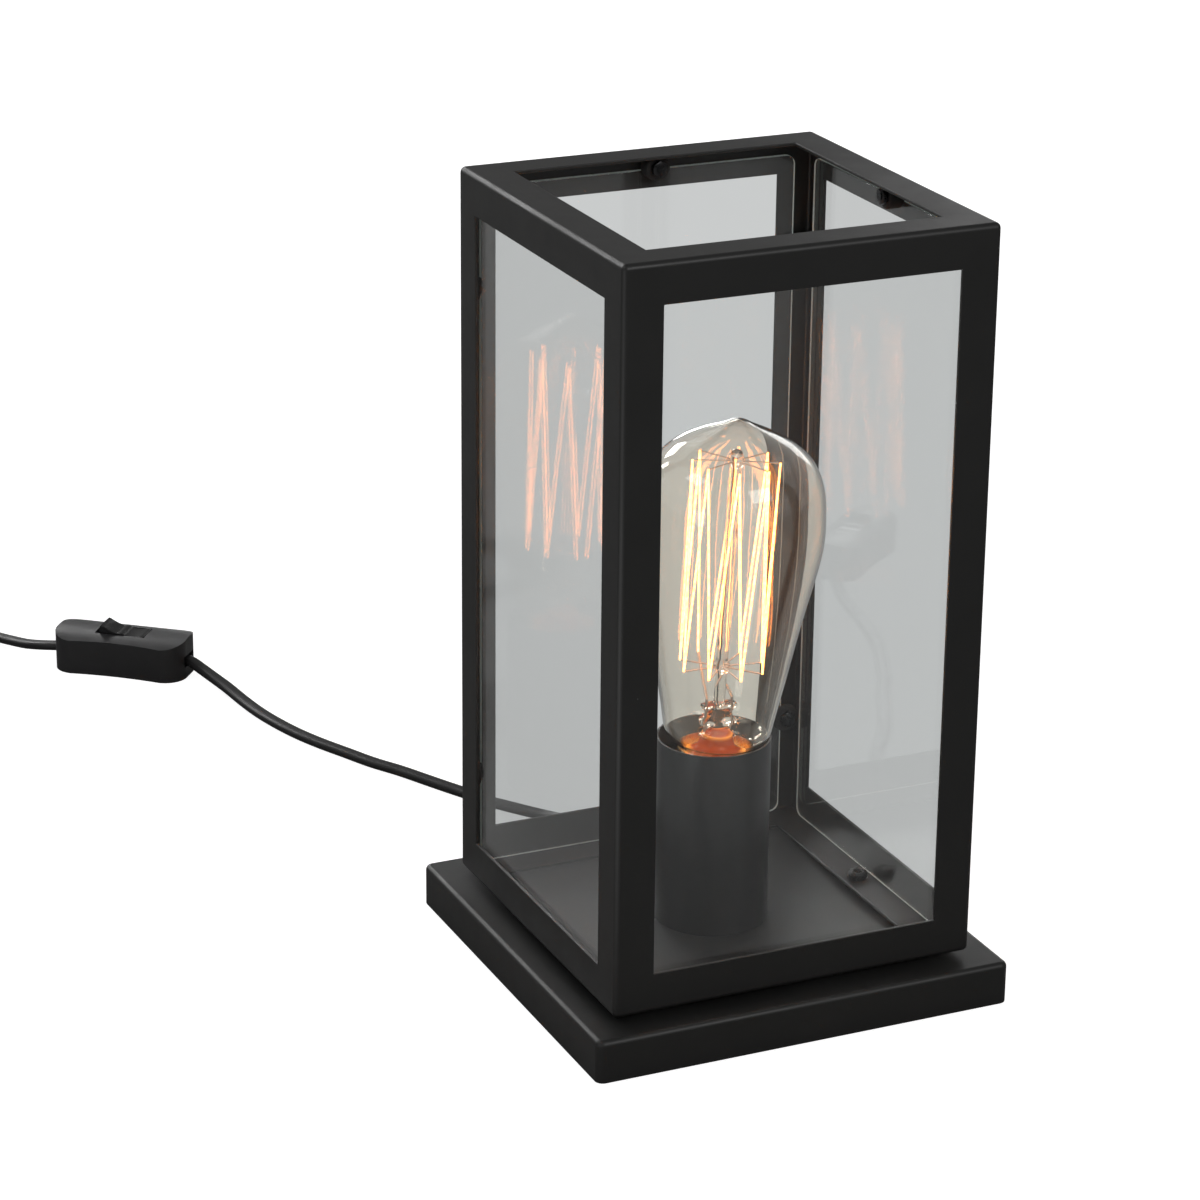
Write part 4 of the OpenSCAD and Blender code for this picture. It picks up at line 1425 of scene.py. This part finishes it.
@dataclass
class Bulb:
    """The filament bulb, measured up the leaning axis from its contact."""

    tip: float = 52 * MM
    neck: float = 12.5 * MM
    wall: float = 0.8 * MM
    cap_radius: float = 13.1 * MM
    cap_foot: float = 5.5 * MM
    cap_rim: float = 27.8 * MM
    cap_sheet: float = 0.4 * MM
    thread_pitch: float = 3.629 * MM
    thread_depth: float = 0.8 * MM
    pinch_height: float = 38 * MM
    pinch_size: Point = (12.7 * MM, 5 * MM, 12 * MM)
    pinch_limit: Point = (6.3 * MM, 2.5 * MM, 6.2 * MM)
    rod_radius: float = 2.0 * MM
    bead_radius: float = 3.0 * MM
    flare_middle: float = 25 * MM
    hooks_low: float = 58 * MM
    hooks_high: float = 133 * MM
    cage_radius: float = 15 * MM
    strand_radius: float = 0.33 * MM
    strands: int = 16
    strand_start: float = 98.0
    strand_sweep: float = 344.0

    def outline(self) -> list[tuple[float, float]]:
        """Half outline of the glass, from its neck to the sealed tip, in millimetres.

        Returns:
            Radius and height of each corner.
        """
        return [
            (12.5, 20), (12.5, 24), (12.9, 27), (13.7, 28.6), (15.7, 30.4), (17.5, 32.2),
            (18.9, 35), (20.2, 42), (23.2, 58), (26.9, 78), (30.9, 97), (32.1, 106), (32.1, 114),
            (30.9, 124), (27.4, 132.4), (21.4, 138.2), (14.6, 142), (9.4, 144.4), (5.6, 146.1),
            (2.6, 147.6), (0, 148.35),
        ]  # fmt: skip

    def glass(self) -> bpy.types.Object:
        """Builds the blown glass, with its wall and the sealed tip.

        Returns:
            The glass.
        """
        points = [Vector((r * MM, h * MM, 0)) for r, h in self.outline()]
        outer = curve_through(points, 5)
        inner = []
        for i, point in enumerate(outer[:-1]):
            along = (outer[i + 1] - outer[max(i - 1, 0)]).normalized()
            inner.append((point.x - self.wall * along.y, point.y + self.wall * along.x))
        inner = [(r, h) for r, h in inner if r > 0.6 * MM]
        inner.append((0.0, self.outline()[-1][1] * MM - self.wall))
        profile = [(max(0.0, p.x), p.y) for p in outer] + inner[::-1]
        piece = turned("bulb_envelope", profile, 96)
        smooth(piece, 60.0)
        return settle(piece, LEAN.matrix(self.tip))

    def cap(self) -> bpy.types.Object:
        """Builds the screw cap, with its rolled thread.

        Returns:
            The cap.
        """
        foot, rim, r, t = self.cap_foot, self.cap_rim, self.cap_radius, self.cap_sheet
        rows = 60
        low, high = foot + 1.4 * MM, rim - 3.2 * MM
        side = [(r, low + (high - low) * k / rows) for k in range(rows + 1)]
        back = [(r - t, h) for _, h in side[::-1]]
        profile = [(r - 4 * MM, foot), (r - 1.2 * MM, foot), (r - 0.3 * MM, foot + 0.6 * MM)] + side
        profile += [(r, rim - 2.4 * MM), (r + 0.55 * MM, rim - 1.8 * MM)]
        profile += [(r + 0.65 * MM, rim - 0.3 * MM)]
        profile += [(r + 0.5 * MM, rim), (r + 0.2 * MM, rim), (r + 0.15 * MM, rim - 1.4 * MM)]
        profile += back + [(r - 1.3 * MM, foot + t), (r - 4 * MM, foot + t)]
        piece = turned("bulb_screw_cap", profile, 72)
        for corner in piece.data.vertices:
            h, reach = corner.co.z, corner.co.xy.length
            if low < h < high and reach > r - 0.6 * MM:
                turn = math.atan2(corner.co.y, corner.co.x) / math.tau
                wave = 0.5 + 0.5 * math.cos(math.tau * (h / self.thread_pitch - turn))
                fade = min(1.0, (h - low) / MM, (high - h) / MM)
                scale = 1.0 - self.thread_depth * fade * (1.0 - wave) / reach
                corner.co.x *= scale
                corner.co.y *= scale
        smooth(piece, 40.0)
        return settle(piece, LEAN.matrix(self.tip))

    def stem(self) -> bpy.types.Object:
        """Builds the glass stem: flared foot, pressed pinch, rod and the two hook beads.

        Returns:
            The stem.
        """
        foot = self.neck - self.wall - 0.2 * MM
        flare = turned(
            "stem_flare",
            [
                (foot, 20 * MM), (foot, 23.8 * MM), (foot - 0.7 * MM, 25.2 * MM),
                (8.6 * MM, 26.6 * MM), (6.6 * MM, 28.2 * MM), (5.7 * MM, 31 * MM),
                (5.4 * MM, 33 * MM), (0, 33 * MM), (0, 32 * MM), (4.4 * MM, 31.4 * MM),
                (5.3 * MM, 27.4 * MM), (foot - 1.6 * MM, 23.8 * MM), (foot - 1.4 * MM, 20 * MM),
            ],
            48,
        )  # fmt: skip
        waist = self.pinch_height
        pinch = block("pinch", (0, 0, waist), self.pinch_size)
        enter(pinch)
        bpy.ops.mesh.select_all(action="SELECT")
        bpy.ops.mesh.subdivide(number_cuts=12, smoothness=0.35)
        leave(pinch)
        for corner in pinch.data.vertices:
            up = (corner.co.z - waist) / (self.pinch_size[2] / 2)
            corner.co.x *= 0.8 + 0.2 * math.cos(6.4 * up + 0.5)
            ripple = 0.1 * math.cos(900.0 * corner.co.x)
            corner.co.y *= 0.74 + 0.24 * math.sin(5.5 * up + 0.8) + ripple
        for corner in pinch.data.vertices:
            local = (corner.co.x, corner.co.y, corner.co.z - waist)
            held = [max(-m, min(m, c)) for c, m in zip(local, self.pinch_limit, strict=True)]
            corner.co = (held[0], held[1], held[2] + waist)
        smooth(pinch, 80.0)
        thin, wide = self.rod_radius, self.bead_radius
        rod = [(0.0, 43 * MM), (thin, 43.4 * MM)]
        for bead in (self.hooks_low, self.hooks_high):
            for k in range(9):
                a = math.pi * (k / 8 - 0.5)
                rod.append((max(thin, wide * math.cos(a)), bead + wide * math.sin(a)))
        rod += [(1.4 * MM, 136.6 * MM), (0.0, 136.9 * MM)]
        shaft = turned("stem_rod", rod, 24, False)
        # the flare's finish paints the filament's light on it, round this middle: a painted
        # copper-orange glow, with a painted golden highlight and glow towards its rim
        glowing = LEAN.matrix(self.tip) @ Vector((0, 0, self.flare_middle))
        painted_glow_finish = PaintedGlowFlare("stem_flare_glass", tuple(glowing))
        for part, finish in ((flare, painted_glow_finish), (pinch, INNER_GLASS), (shaft, INNER_GLASS)):
            smooth(part, 60.0)
            part.data.materials.append(finish.material())
        piece = joined("stem", [flare, pinch, shaft])
        return settle(piece, LEAN.matrix(self.tip))

    def strand(self, start: Vector, end: Vector) -> bpy.types.Object:
        """Builds one straight strand.

        Args:
            start: one end.
            end: the other end.

        Returns:
            The strand.
        """
        way = end - start
        piece = drum("strand", (0, 0, way.length / 2), self.strand_radius, way.length, 10)
        turn = way.to_track_quat("Z", "Y").to_matrix().to_4x4()
        return settle(piece, Matrix.Translation(start) @ turn)

    def knot(self, j: int) -> Vector:
        """Where strand j of the filament starts.

        Args:
            j: the number of the strand.

        Returns:
            The place, in the upright frame.
        """
        step = math.radians(self.strand_start + self.strand_sweep / self.strands * j)
        height = self.hooks_low if j % 2 == 0 else self.hooks_high
        radius = self.cage_radius
        return Vector((radius * math.cos(step), radius * math.sin(step), height))

    def filament(self) -> bpy.types.Object:
        """Builds the glowing strands of the filament cage.

        Returns:
            The filament.
        """
        parts = [self.strand(self.knot(j), self.knot(j + 1)) for j in range(self.strands)]
        for part in parts:
            smooth(part, 60.0)
        return settle(joined("filament_strands", parts), LEAN.matrix(self.tip))

    def build(self) -> list[bpy.types.Object]:
        """Builds and dresses the bulb.

        Returns:
            Its pieces.
        """
        pieces = [
            dress(self.glass(), BULB_GLASS, Body.BULB, ["bulb_glass"]),
            dress(self.cap(), CAP_BRASS, Body.BULB, ["bulb_cap"]),
            dress(self.stem(), INNER_GLASS, Body.BULB, ["bulb_stem"]),
            dress(self.filament(), FILAMENT, Body.BULB, ["filament"]),
        ]
        repaint("bulb_insulator", BLACK_GLASS)
        repaint("bulb_contact", SOLDER)
        for node in ("lead_wires", "hook_wires"):
            repaint(node, NICKEL_WIRE)
        return pieces


# ---------------------------------------------------------------- cord, switch and plug


@dataclass
class Switch:
    """The in-line rocker switch."""

    centre: Point = (-107.8 * MM, 342.2 * MM, 0.0)
    yaw: float = 141.0
    length: float = 57.6 * MM
    split: float = 7.3 * MM

    def point(self, along: float, z: float) -> Vector:
        """A point on the switch's long axis, at a height.

        Args:
            along: distance from its middle.
            z: height.

        Returns:
            The point.
        """
        yaw = math.radians(self.yaw)
        x, y, _ = self.centre
        return Vector((x + along * math.cos(yaw), y + along * math.sin(yaw), z))

    def build(self) -> list[bpy.types.Object]:
        """Builds and dresses the switch.

        Returns:
            Its pieces.
        """
        base = from_solid("switch_base", "switch_bottom", 0.5 * MM, 3, 55.0)
        cover = from_solid("switch_cover", "switch_top", 0.6 * MM, 3, 50.0)
        rocker = from_solid("switch_rocker", "rocker_cap", 0.5 * MM, 3, 35.0)
        repaint("switch_fittings", BRASS)
        return [
            dress(base, BLACK_PLASTIC, Body.LANTERN, ["switch_base"]),
            dress(cover, BLACK_PLASTIC, Body.LANTERN, ["switch_cover"]),
            dress(rocker, GLOSS_PLASTIC, Body.ROCKER, ["switch_rocker"]),
        ]


@dataclass
class Plug:
    """The moulded two-pin plug."""

    x: float = -268 * MM
    y: float = 345 * MM
    z: float = 6.85 * MM
    width: float = 35.3 * MM
    length: float = 36 * MM
    thickness: float = 13.7 * MM
    corner: float = 5 * MM
    edge: float = 1.0 * MM
    grip_from_edge: float = 3.2 * MM
    grip_slope: float = 0.5 * MM
    grip_depth: float = 0.7 * MM
    sunk: float = 1 * MM
    pin_radius: float = 2.0 * MM
    pin_length: float = 19 * MM
    pin_x: float = 9.5 * MM

    def shell(self) -> bpy.types.Object:
        """Builds the plug's moulded body, with a grip panel pressed into each flat.

        Returns:
            The body.
        """
        size = (self.width, self.length, self.thickness)
        piece = block("plug_body", (self.x, self.y, self.z), size)
        round_off(piece, runs_along(2), self.corner, 6)
        soften(piece, self.edge, 3, 50.0)
        enter(piece)
        choose(piece, "FACE", lambda face: abs(face.normal.z) > FLAT)
        bpy.ops.mesh.inset(thickness=self.grip_from_edge, use_individual=True)
        bpy.ops.mesh.inset(
            thickness=self.grip_slope, depth=-self.grip_depth, use_individual=True
        )
        leave(piece)
        return crisp(piece)

    def boot(self) -> bpy.types.Object:
        """Builds the ribbed bend relief behind the plug.

        Returns:
            The relief.
        """
        root = [(0.0, -self.sunk), (PLUG_BOOT.radius, -self.sunk)]
        piece = turned("plug_relief", root + PLUG_BOOT.outline(), 40, False)
        soften(piece, 0.2 * MM, 2, 40.0)
        smooth(piece, 40.0)
        back = Matrix.Translation((self.x, self.y + self.length / 2, self.z))
        return settle(piece, back @ Matrix.Rotation(math.radians(-90), 4, "X"))

    def pins(self) -> bpy.types.Object:
        """Builds the two round pins with their domed ends.

        Returns:
            The pins, as one object.
        """
        r, dome = self.pin_radius, self.pin_length - self.pin_radius
        outline = [(0.0, -self.sunk), (r, -self.sunk), (r, dome)]
        angles = (math.radians(15 * k) for k in range(1, 6))
        outline += [(r * math.cos(a), dome + r * math.sin(a)) for a in angles]
        outline += [(0.0, self.pin_length)]
        pin = smooth(turned("pin_set", outline, 32, False), 40.0)
        front = self.y - self.length / 2
        turn = Matrix.Rotation(math.radians(90), 4, "X")
        spots = [(self.x + side * self.pin_x, front, self.z) for side in (-1, 1)]
        return copies(pin, [Matrix.Translation(spot) @ turn for spot in spots])

    def build(self) -> list[bpy.types.Object]:
        """Builds and dresses the plug.

        Returns:
            Its pieces.
        """
        return [
            dress(self.shell(), BLACK_PLASTIC, Body.LANTERN, ["plug"]),
            dress(self.boot(), BLACK_PLASTIC, Body.LANTERN),
            dress(self.pins(), PLUG_PIN, Body.LANTERN),
        ]


@dataclass
class Cord:
    """The flat two-core cord: from the lamp to the switch, and on through its coil to the plug."""

    switch: Switch
    width: float = 5.6 * MM
    thickness: float = 3.4 * MM
    coil_centre: Point = (-202 * MM, 400 * MM, 0.8 * MM)
    coil_inner: float = 23.7 * MM
    coil_outer: float = 42.3 * MM
    coil_entry: float = 25.0
    turns: float = 6.25
    layer: float = 3.5 * MM
    exit: Point = (0.0, 78 * MM, 8 * MM)
    tray_wall: float = 1.2 * MM
    flange_thickness: float = 2 * MM
    neck_radius: float = 4.8 * MM
    tie_width: float = 7 * MM
    tie_sheet: float = 0.7 * MM
    tie_corner: float = 1.6 * MM
    tie_room: float = 0.3 * MM
    tie_at: float = 166.0
    groove: float = 0.72
    step: float = 3 * MM

    def lamp_route(self) -> list[Vector]:
        """The route from inside the tray to the switch.

        Returns:
            Its points.
        """
        points = [
            (0, 58, 8), (0, 68, 8), (0, 78, 8), (0, 90, 8), (0, 100, 8), (-1, 109, 6.8),
            (-3, 118, 4.2), (-6, 127, 2.4), (-11, 136, 1.7), (-18, 146, 1.7), (-25, 156, 1.7),
            (-31, 167, 1.7), (-37, 179, 1.7), (-43, 191, 1.7), (-50, 203, 1.7), (-56, 216, 1.7),
            (-62, 229, 1.7), (-67, 242, 1.7), (-71, 256, 1.7), (-74, 270, 1.8), (-76, 283, 2.2),
            (-78.4, 296, 3.5), (-81, 305.5, 4.8), (-83.4, 314, 6), (-85.2, 320, 6.9),
            (-87.4, 325, 7.3),
        ]  # fmt: skip
        return [Vector(p) * MM for p in points] + [self.switch.point(-22.8 * MM, self.switch.split)]

    def coil_route(self) -> list[Vector]:
        """The turns of the coil: inwards in the lower layer, then outwards in the upper one.

        Returns:
            Its points.
        """
        count = round(self.turns * 24)
        half, climb = self.turns / 2, 0.17
        points = []
        for k in range(count + 1):
            turn = self.turns * k / count
            share = turn / half if turn < half else (self.turns - turn) / half
            radius = self.coil_inner + (self.coil_outer - self.coil_inner) * min(1.0, share)
            rise = min(1.0, max(0.0, (turn - half) / climb))
            height = self.thickness / 2 + self.layer * rise * rise * (3 - 2 * rise)
            angle = math.radians(self.coil_entry + 360 * turn)
            offset = Vector((radius * math.cos(angle), radius * math.sin(angle), height))
            points.append(Vector(self.coil_centre) + offset)
        return points

    def plug_route(self) -> list[Vector]:
        """The route from the switch through the coil to the plug.

        Returns:
            Its points.
        """
        leaving = [
            (-131.6, 359.8, 7.3), (-137.2, 363.8, 6.9), (-142, 370, 5.9), (-145.8, 378.4, 4.8),
            (-149.4, 387, 3.8), (-153.4, 396.4, 2.9), (-158.4, 407, 2.5),
        ]  # fmt: skip
        ending = [
            (-232, 432.4, 5.4), (-243, 425, 4.2), (-252, 416, 3.4), (-259.6, 408, 3.6),
            (-265, 399, 5.2), (-268, 389, 6.85), (-268, 377, 6.85),
        ]  # fmt: skip
        start = self.switch.point(22.8 * MM, self.switch.split)
        before, after = ([Vector(p) * MM for p in part] for part in (leaving, ending))
        return [start, *before, *self.coil_route(), *after]

    def section(self) -> list[tuple[float, float]]:
        """The cord's section: two round cores side by side with a groove between them.

        Returns:
            Its corners, across and up.
        """
        half, lobe = self.width / 2, self.thickness / 2
        centre = half - lobe
        points = []
        for k in range(9):
            a = math.radians(-70 + 17.5 * k)
            points.append((centre + lobe * math.cos(a), lobe * math.sin(a)))
        points.append((0.0, lobe * self.groove))
        for k in range(9):
            a = math.radians(110 + 17.5 * k)
            points.append((-centre + lobe * math.cos(a), lobe * math.sin(a)))
        points.append((0.0, -lobe * self.groove))
        return points

    def tube(self, name: str, line: Sequence[Vector]) -> bpy.types.Object:
        """Draws the cord's section along a line.

        Args:
            name: the piece's name.
            line: the line's points.

        Returns:
            The cord.
        """
        ring, corners, faces = self.section(), [], []
        n = len(ring)
        for i, centre in enumerate(line):
            ahead = (line[min(i + 1, len(line) - 1)] - line[max(i - 1, 0)]).normalized()
            side = ahead.cross(Vector((0, 0, 1))).normalized()
            up = side.cross(ahead)
            corners += [centre + side * a + up * b for a, b in ring]
            if i:
                low = (i - 1) * n
                pairs = [(k, (k + 1) % n) for k in range(n)]
                faces += [(low + k, low + j, low + n + j, low + n + k) for k, j in pairs]
        faces += [tuple(range(n))[::-1], tuple((len(line) - 1) * n + k for k in range(n))]
        mesh = bpy.data.meshes.new(name)
        mesh.from_pydata(corners, [], faces)
        piece = bpy.data.objects.new(name, mesh)
        bpy.context.scene.collection.objects.link(piece)
        tidy_mesh(piece)
        return smooth(piece, 50.0)

    def bush(self) -> bpy.types.Object:
        """Builds the ribbed bush where the cord leaves the tray.

        Returns:
            The bush.
        """
        flange, inside = TRAY_BOOT.radius, -self.tray_wall
        root = [
            (0.0, inside - self.flange_thickness),
            (flange, inside - self.flange_thickness),
            (flange, inside),
            (self.neck_radius, inside),
            (self.neck_radius, 0.0),
        ]
        piece = turned("cord_relief", root + TRAY_BOOT.outline(), 40, False)
        smooth(piece, 35.0)
        way = Matrix.Rotation(math.radians(-90), 4, "X")
        return settle(piece, Matrix.Translation(self.exit) @ way)

    def tie(self) -> bpy.types.Object:
        """Builds the rubber tie round the coil's turns.

        Returns:
            The tie.
        """
        middle = (self.coil_inner + self.coil_outer) / 2
        spread = (self.coil_outer - self.coil_inner) / 2 + self.width / 2 + self.tie_room
        size = (2 * spread, self.tie_width, 2 * self.layer + 0.2 * MM)
        piece = block("coil_tie", (middle, 0, self.layer), size)
        enter(piece)
        choose(piece, "FACE", lambda face: abs(face.normal.y) > FACING)
        bpy.ops.mesh.delete(type="FACE")
        leave(piece)
        round_off(piece, runs_along(1), self.tie_corner, 4)
        apply(piece, "SOLIDIFY", thickness=self.tie_sheet, offset=0.0, use_even_offset=True)
        soften(piece, 0.2 * MM, 2, 60.0)
        smooth(piece, 40.0)
        turn = Matrix.Rotation(math.radians(self.coil_entry + self.tie_at), 4, "Z")
        return settle(piece, Matrix.Translation(self.coil_centre) @ turn)

    def build(
        self, on_switch: Sequence[bpy.types.Object], on_plug: Sequence[bpy.types.Object]
    ) -> None:
        """Args:
            on_switch: the switch's pieces; not used.
            on_plug: the plug's pieces.
        """
        bush = dress(self.bush(), RUBBER, Body.LANTERN, ["cord_bush"])
        tie = dress(self.tie(), RUBBER, Body.LANTERN)
        lamp_line = evenly(curve_through(self.lamp_route(), 6), self.step)
        plug_line = evenly(curve_through(self.plug_route(), 4), self.step)
        first = self.tube("cord_to_switch", lamp_line)
        second = self.tube("cord_to_plug", plug_line)
        dress(first, CORD_BLACK, Body.LANTERN, ["cord_lamp"])
        nodes = ["cord_middle", "cord_coil", "cord_end"]
        dress(second, CORD_BLACK, Body.LANTERN, nodes)
        for piece in (second, tie, *on_plug):
            piece.visible_glossy = piece.visible_transmission = False


# ---------------------------------------------------------------- studio


@dataclass
class Softbox:
    """A rectangular lamp that faces a point."""

    name: str
    place: Point
    size: tuple[float, float]
    power: float
    aim: Point = (0.0, 0.0, 0.14)

    def build(self) -> bpy.types.Object:
        """Builds the lamp, which the camera doesn't see.

        Returns:
            The lamp.
        """
        light = bpy.data.lights.new(self.name, "AREA")
        light.shape = "RECTANGLE"
        light.size, light.size_y = self.size
        light.energy = self.power
        lamp = bpy.data.objects.new(self.name, light)
        bpy.context.scene.collection.objects.link(lamp)
        lamp.location = self.place
        way = Vector(self.aim) - Vector(self.place)
        lamp.rotation_euler = way.to_track_quat("-Z", "Y").to_euler()
        lamp.visible_camera = False
        return lamp


@dataclass
class Studio:
    """The camera, the floor, the world and the lamps."""

    camera_place: Point = (-0.55135, -1.11921, 0.60447)
    azimuth: float = -24.397
    elevation: float = 20.691
    roll: float = 0.582
    focal: float = 116.03
    sensor: float = 36.0
    floor_size: float = 14.0
    ambient: float = 0.2
    ambient_colour: Colour = (1.0, 0.995, 0.985)
    through_glass: float = 0.62
    bounces: int = 20
    clear_bounces: int = 16

    def camera(self) -> bpy.types.Object:
        """Builds the camera.

        Returns:
            The camera.
        """
        az, el, roll = (math.radians(a) for a in (self.azimuth, self.elevation, self.roll))
        back = Vector((math.sin(az) * math.cos(el), -math.cos(az) * math.cos(el), math.sin(el)))
        right = Vector((math.cos(az), math.sin(az), 0.0))
        up = back.cross(right)
        level = math.cos(roll) * right + math.sin(roll) * up
        upright = -math.sin(roll) * right + math.cos(roll) * up
        data = bpy.data.cameras.new("camera")
        data.sensor_width, data.lens = self.sensor, self.focal
        data.clip_start, data.clip_end = 0.05, 60.0
        camera = bpy.data.objects.new("camera", data)
        bpy.context.scene.collection.objects.link(camera)
        turn = Matrix((level, upright, back)).transposed().to_4x4()
        camera.matrix_world = Matrix.Translation(self.camera_place) @ turn
        bpy.context.scene.camera = camera
        return camera

    def floor(self) -> bpy.types.Object:
        """Builds the floor.

        Returns:
            The floor.
        """
        at_rest()
        bpy.ops.mesh.primitive_plane_add(size=self.floor_size)
        floor = settle(named("studio_floor"))
        floor.data.materials.append(StudioFloor("studio_floor_paint").material())
        return floor

    def world(self) -> None:
        """Builds the world: white to the camera, grey through glass, and a dim dome to all else."""
        world = bpy.data.worlds.new("studio_world")
        world.use_nodes = True
        world.node_tree.nodes.clear()
        graph = Graph(world.node_tree)
        path = graph.add("ShaderNodeLightPath")
        shades = (
            (WHITE, 1.0),
            (GREY_TINT, self.through_glass),
            (self.ambient_colour, self.ambient),
        )
        white, grey, dome = (
            graph.add("ShaderNodeBackground", {"Color": colour, "Strength": light}).outputs[0]
            for colour, light in shades
        )
        unseen = graph.either(path.outputs["Is Transmission Ray"], dome, grey)
        seen = graph.either(path.outputs["Is Camera Ray"], unseen, white)
        graph.add("ShaderNodeOutputWorld", {"Surface": seen})
        bpy.context.scene.world = world

    def lamps(self) -> list[bpy.types.Object]:
        """Builds the lamps.

        Returns:
            The lamps.
        """
        boxes = [
            Softbox("softbox_top_left", (-1.15, 0.15, 1.45), (0.7, 0.5), 3.4),
            Softbox("softbox_back_left", (-0.85, 1.75, 0.85), (0.45, 0.35), 5.5),
            Softbox("softbox_back_right", (1.35, 1.35, 0.6), (0.9, 0.5), 3.0),
            Softbox("softbox_front", (0.5, -2.1, 1.5), (1.2, 1.0), 16.0),
            Softbox("window_high", (-0.09, 1.67, 0.8), (0.42, 0.3), 5.0),
            Softbox("window_low", (0.6, 1.58, 0.12), (0.3, 0.16), 1.5),
            Softbox("edge_light", (-1.05, -0.48, 0.2), (0.3, 0.3), 0.6),
        ]
        return [box.build() for box in boxes]

    def build(self) -> None:
        """Builds the studio."""
        self.camera()
        self.floor()
        self.world()
        self.lamps()
        scene = bpy.context.scene
        scene.view_settings.view_transform = "Standard"
        scene.cycles.max_bounces = self.bounces
        scene.cycles.transmission_bounces = self.bounces
        scene.cycles.transparent_max_bounces = self.clear_bounces
        log.info("studio is ready")


def main() -> None:
    """Builds the studio and every piece of the lamp, in order."""
    logging.basicConfig(level=logging.INFO, format="%(message)s")
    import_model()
    Studio().build()
    switch = Switch()
    on_switch = switch.build()
    on_plug = Plug().build()
    Cord(switch).build(on_switch, on_plug)
    Tray().build()
    Cage().build()
    Panes().build()
    Lampholder().build()
    Bulb().build()
    at_rest()


if __name__ == "__main__":
    main()
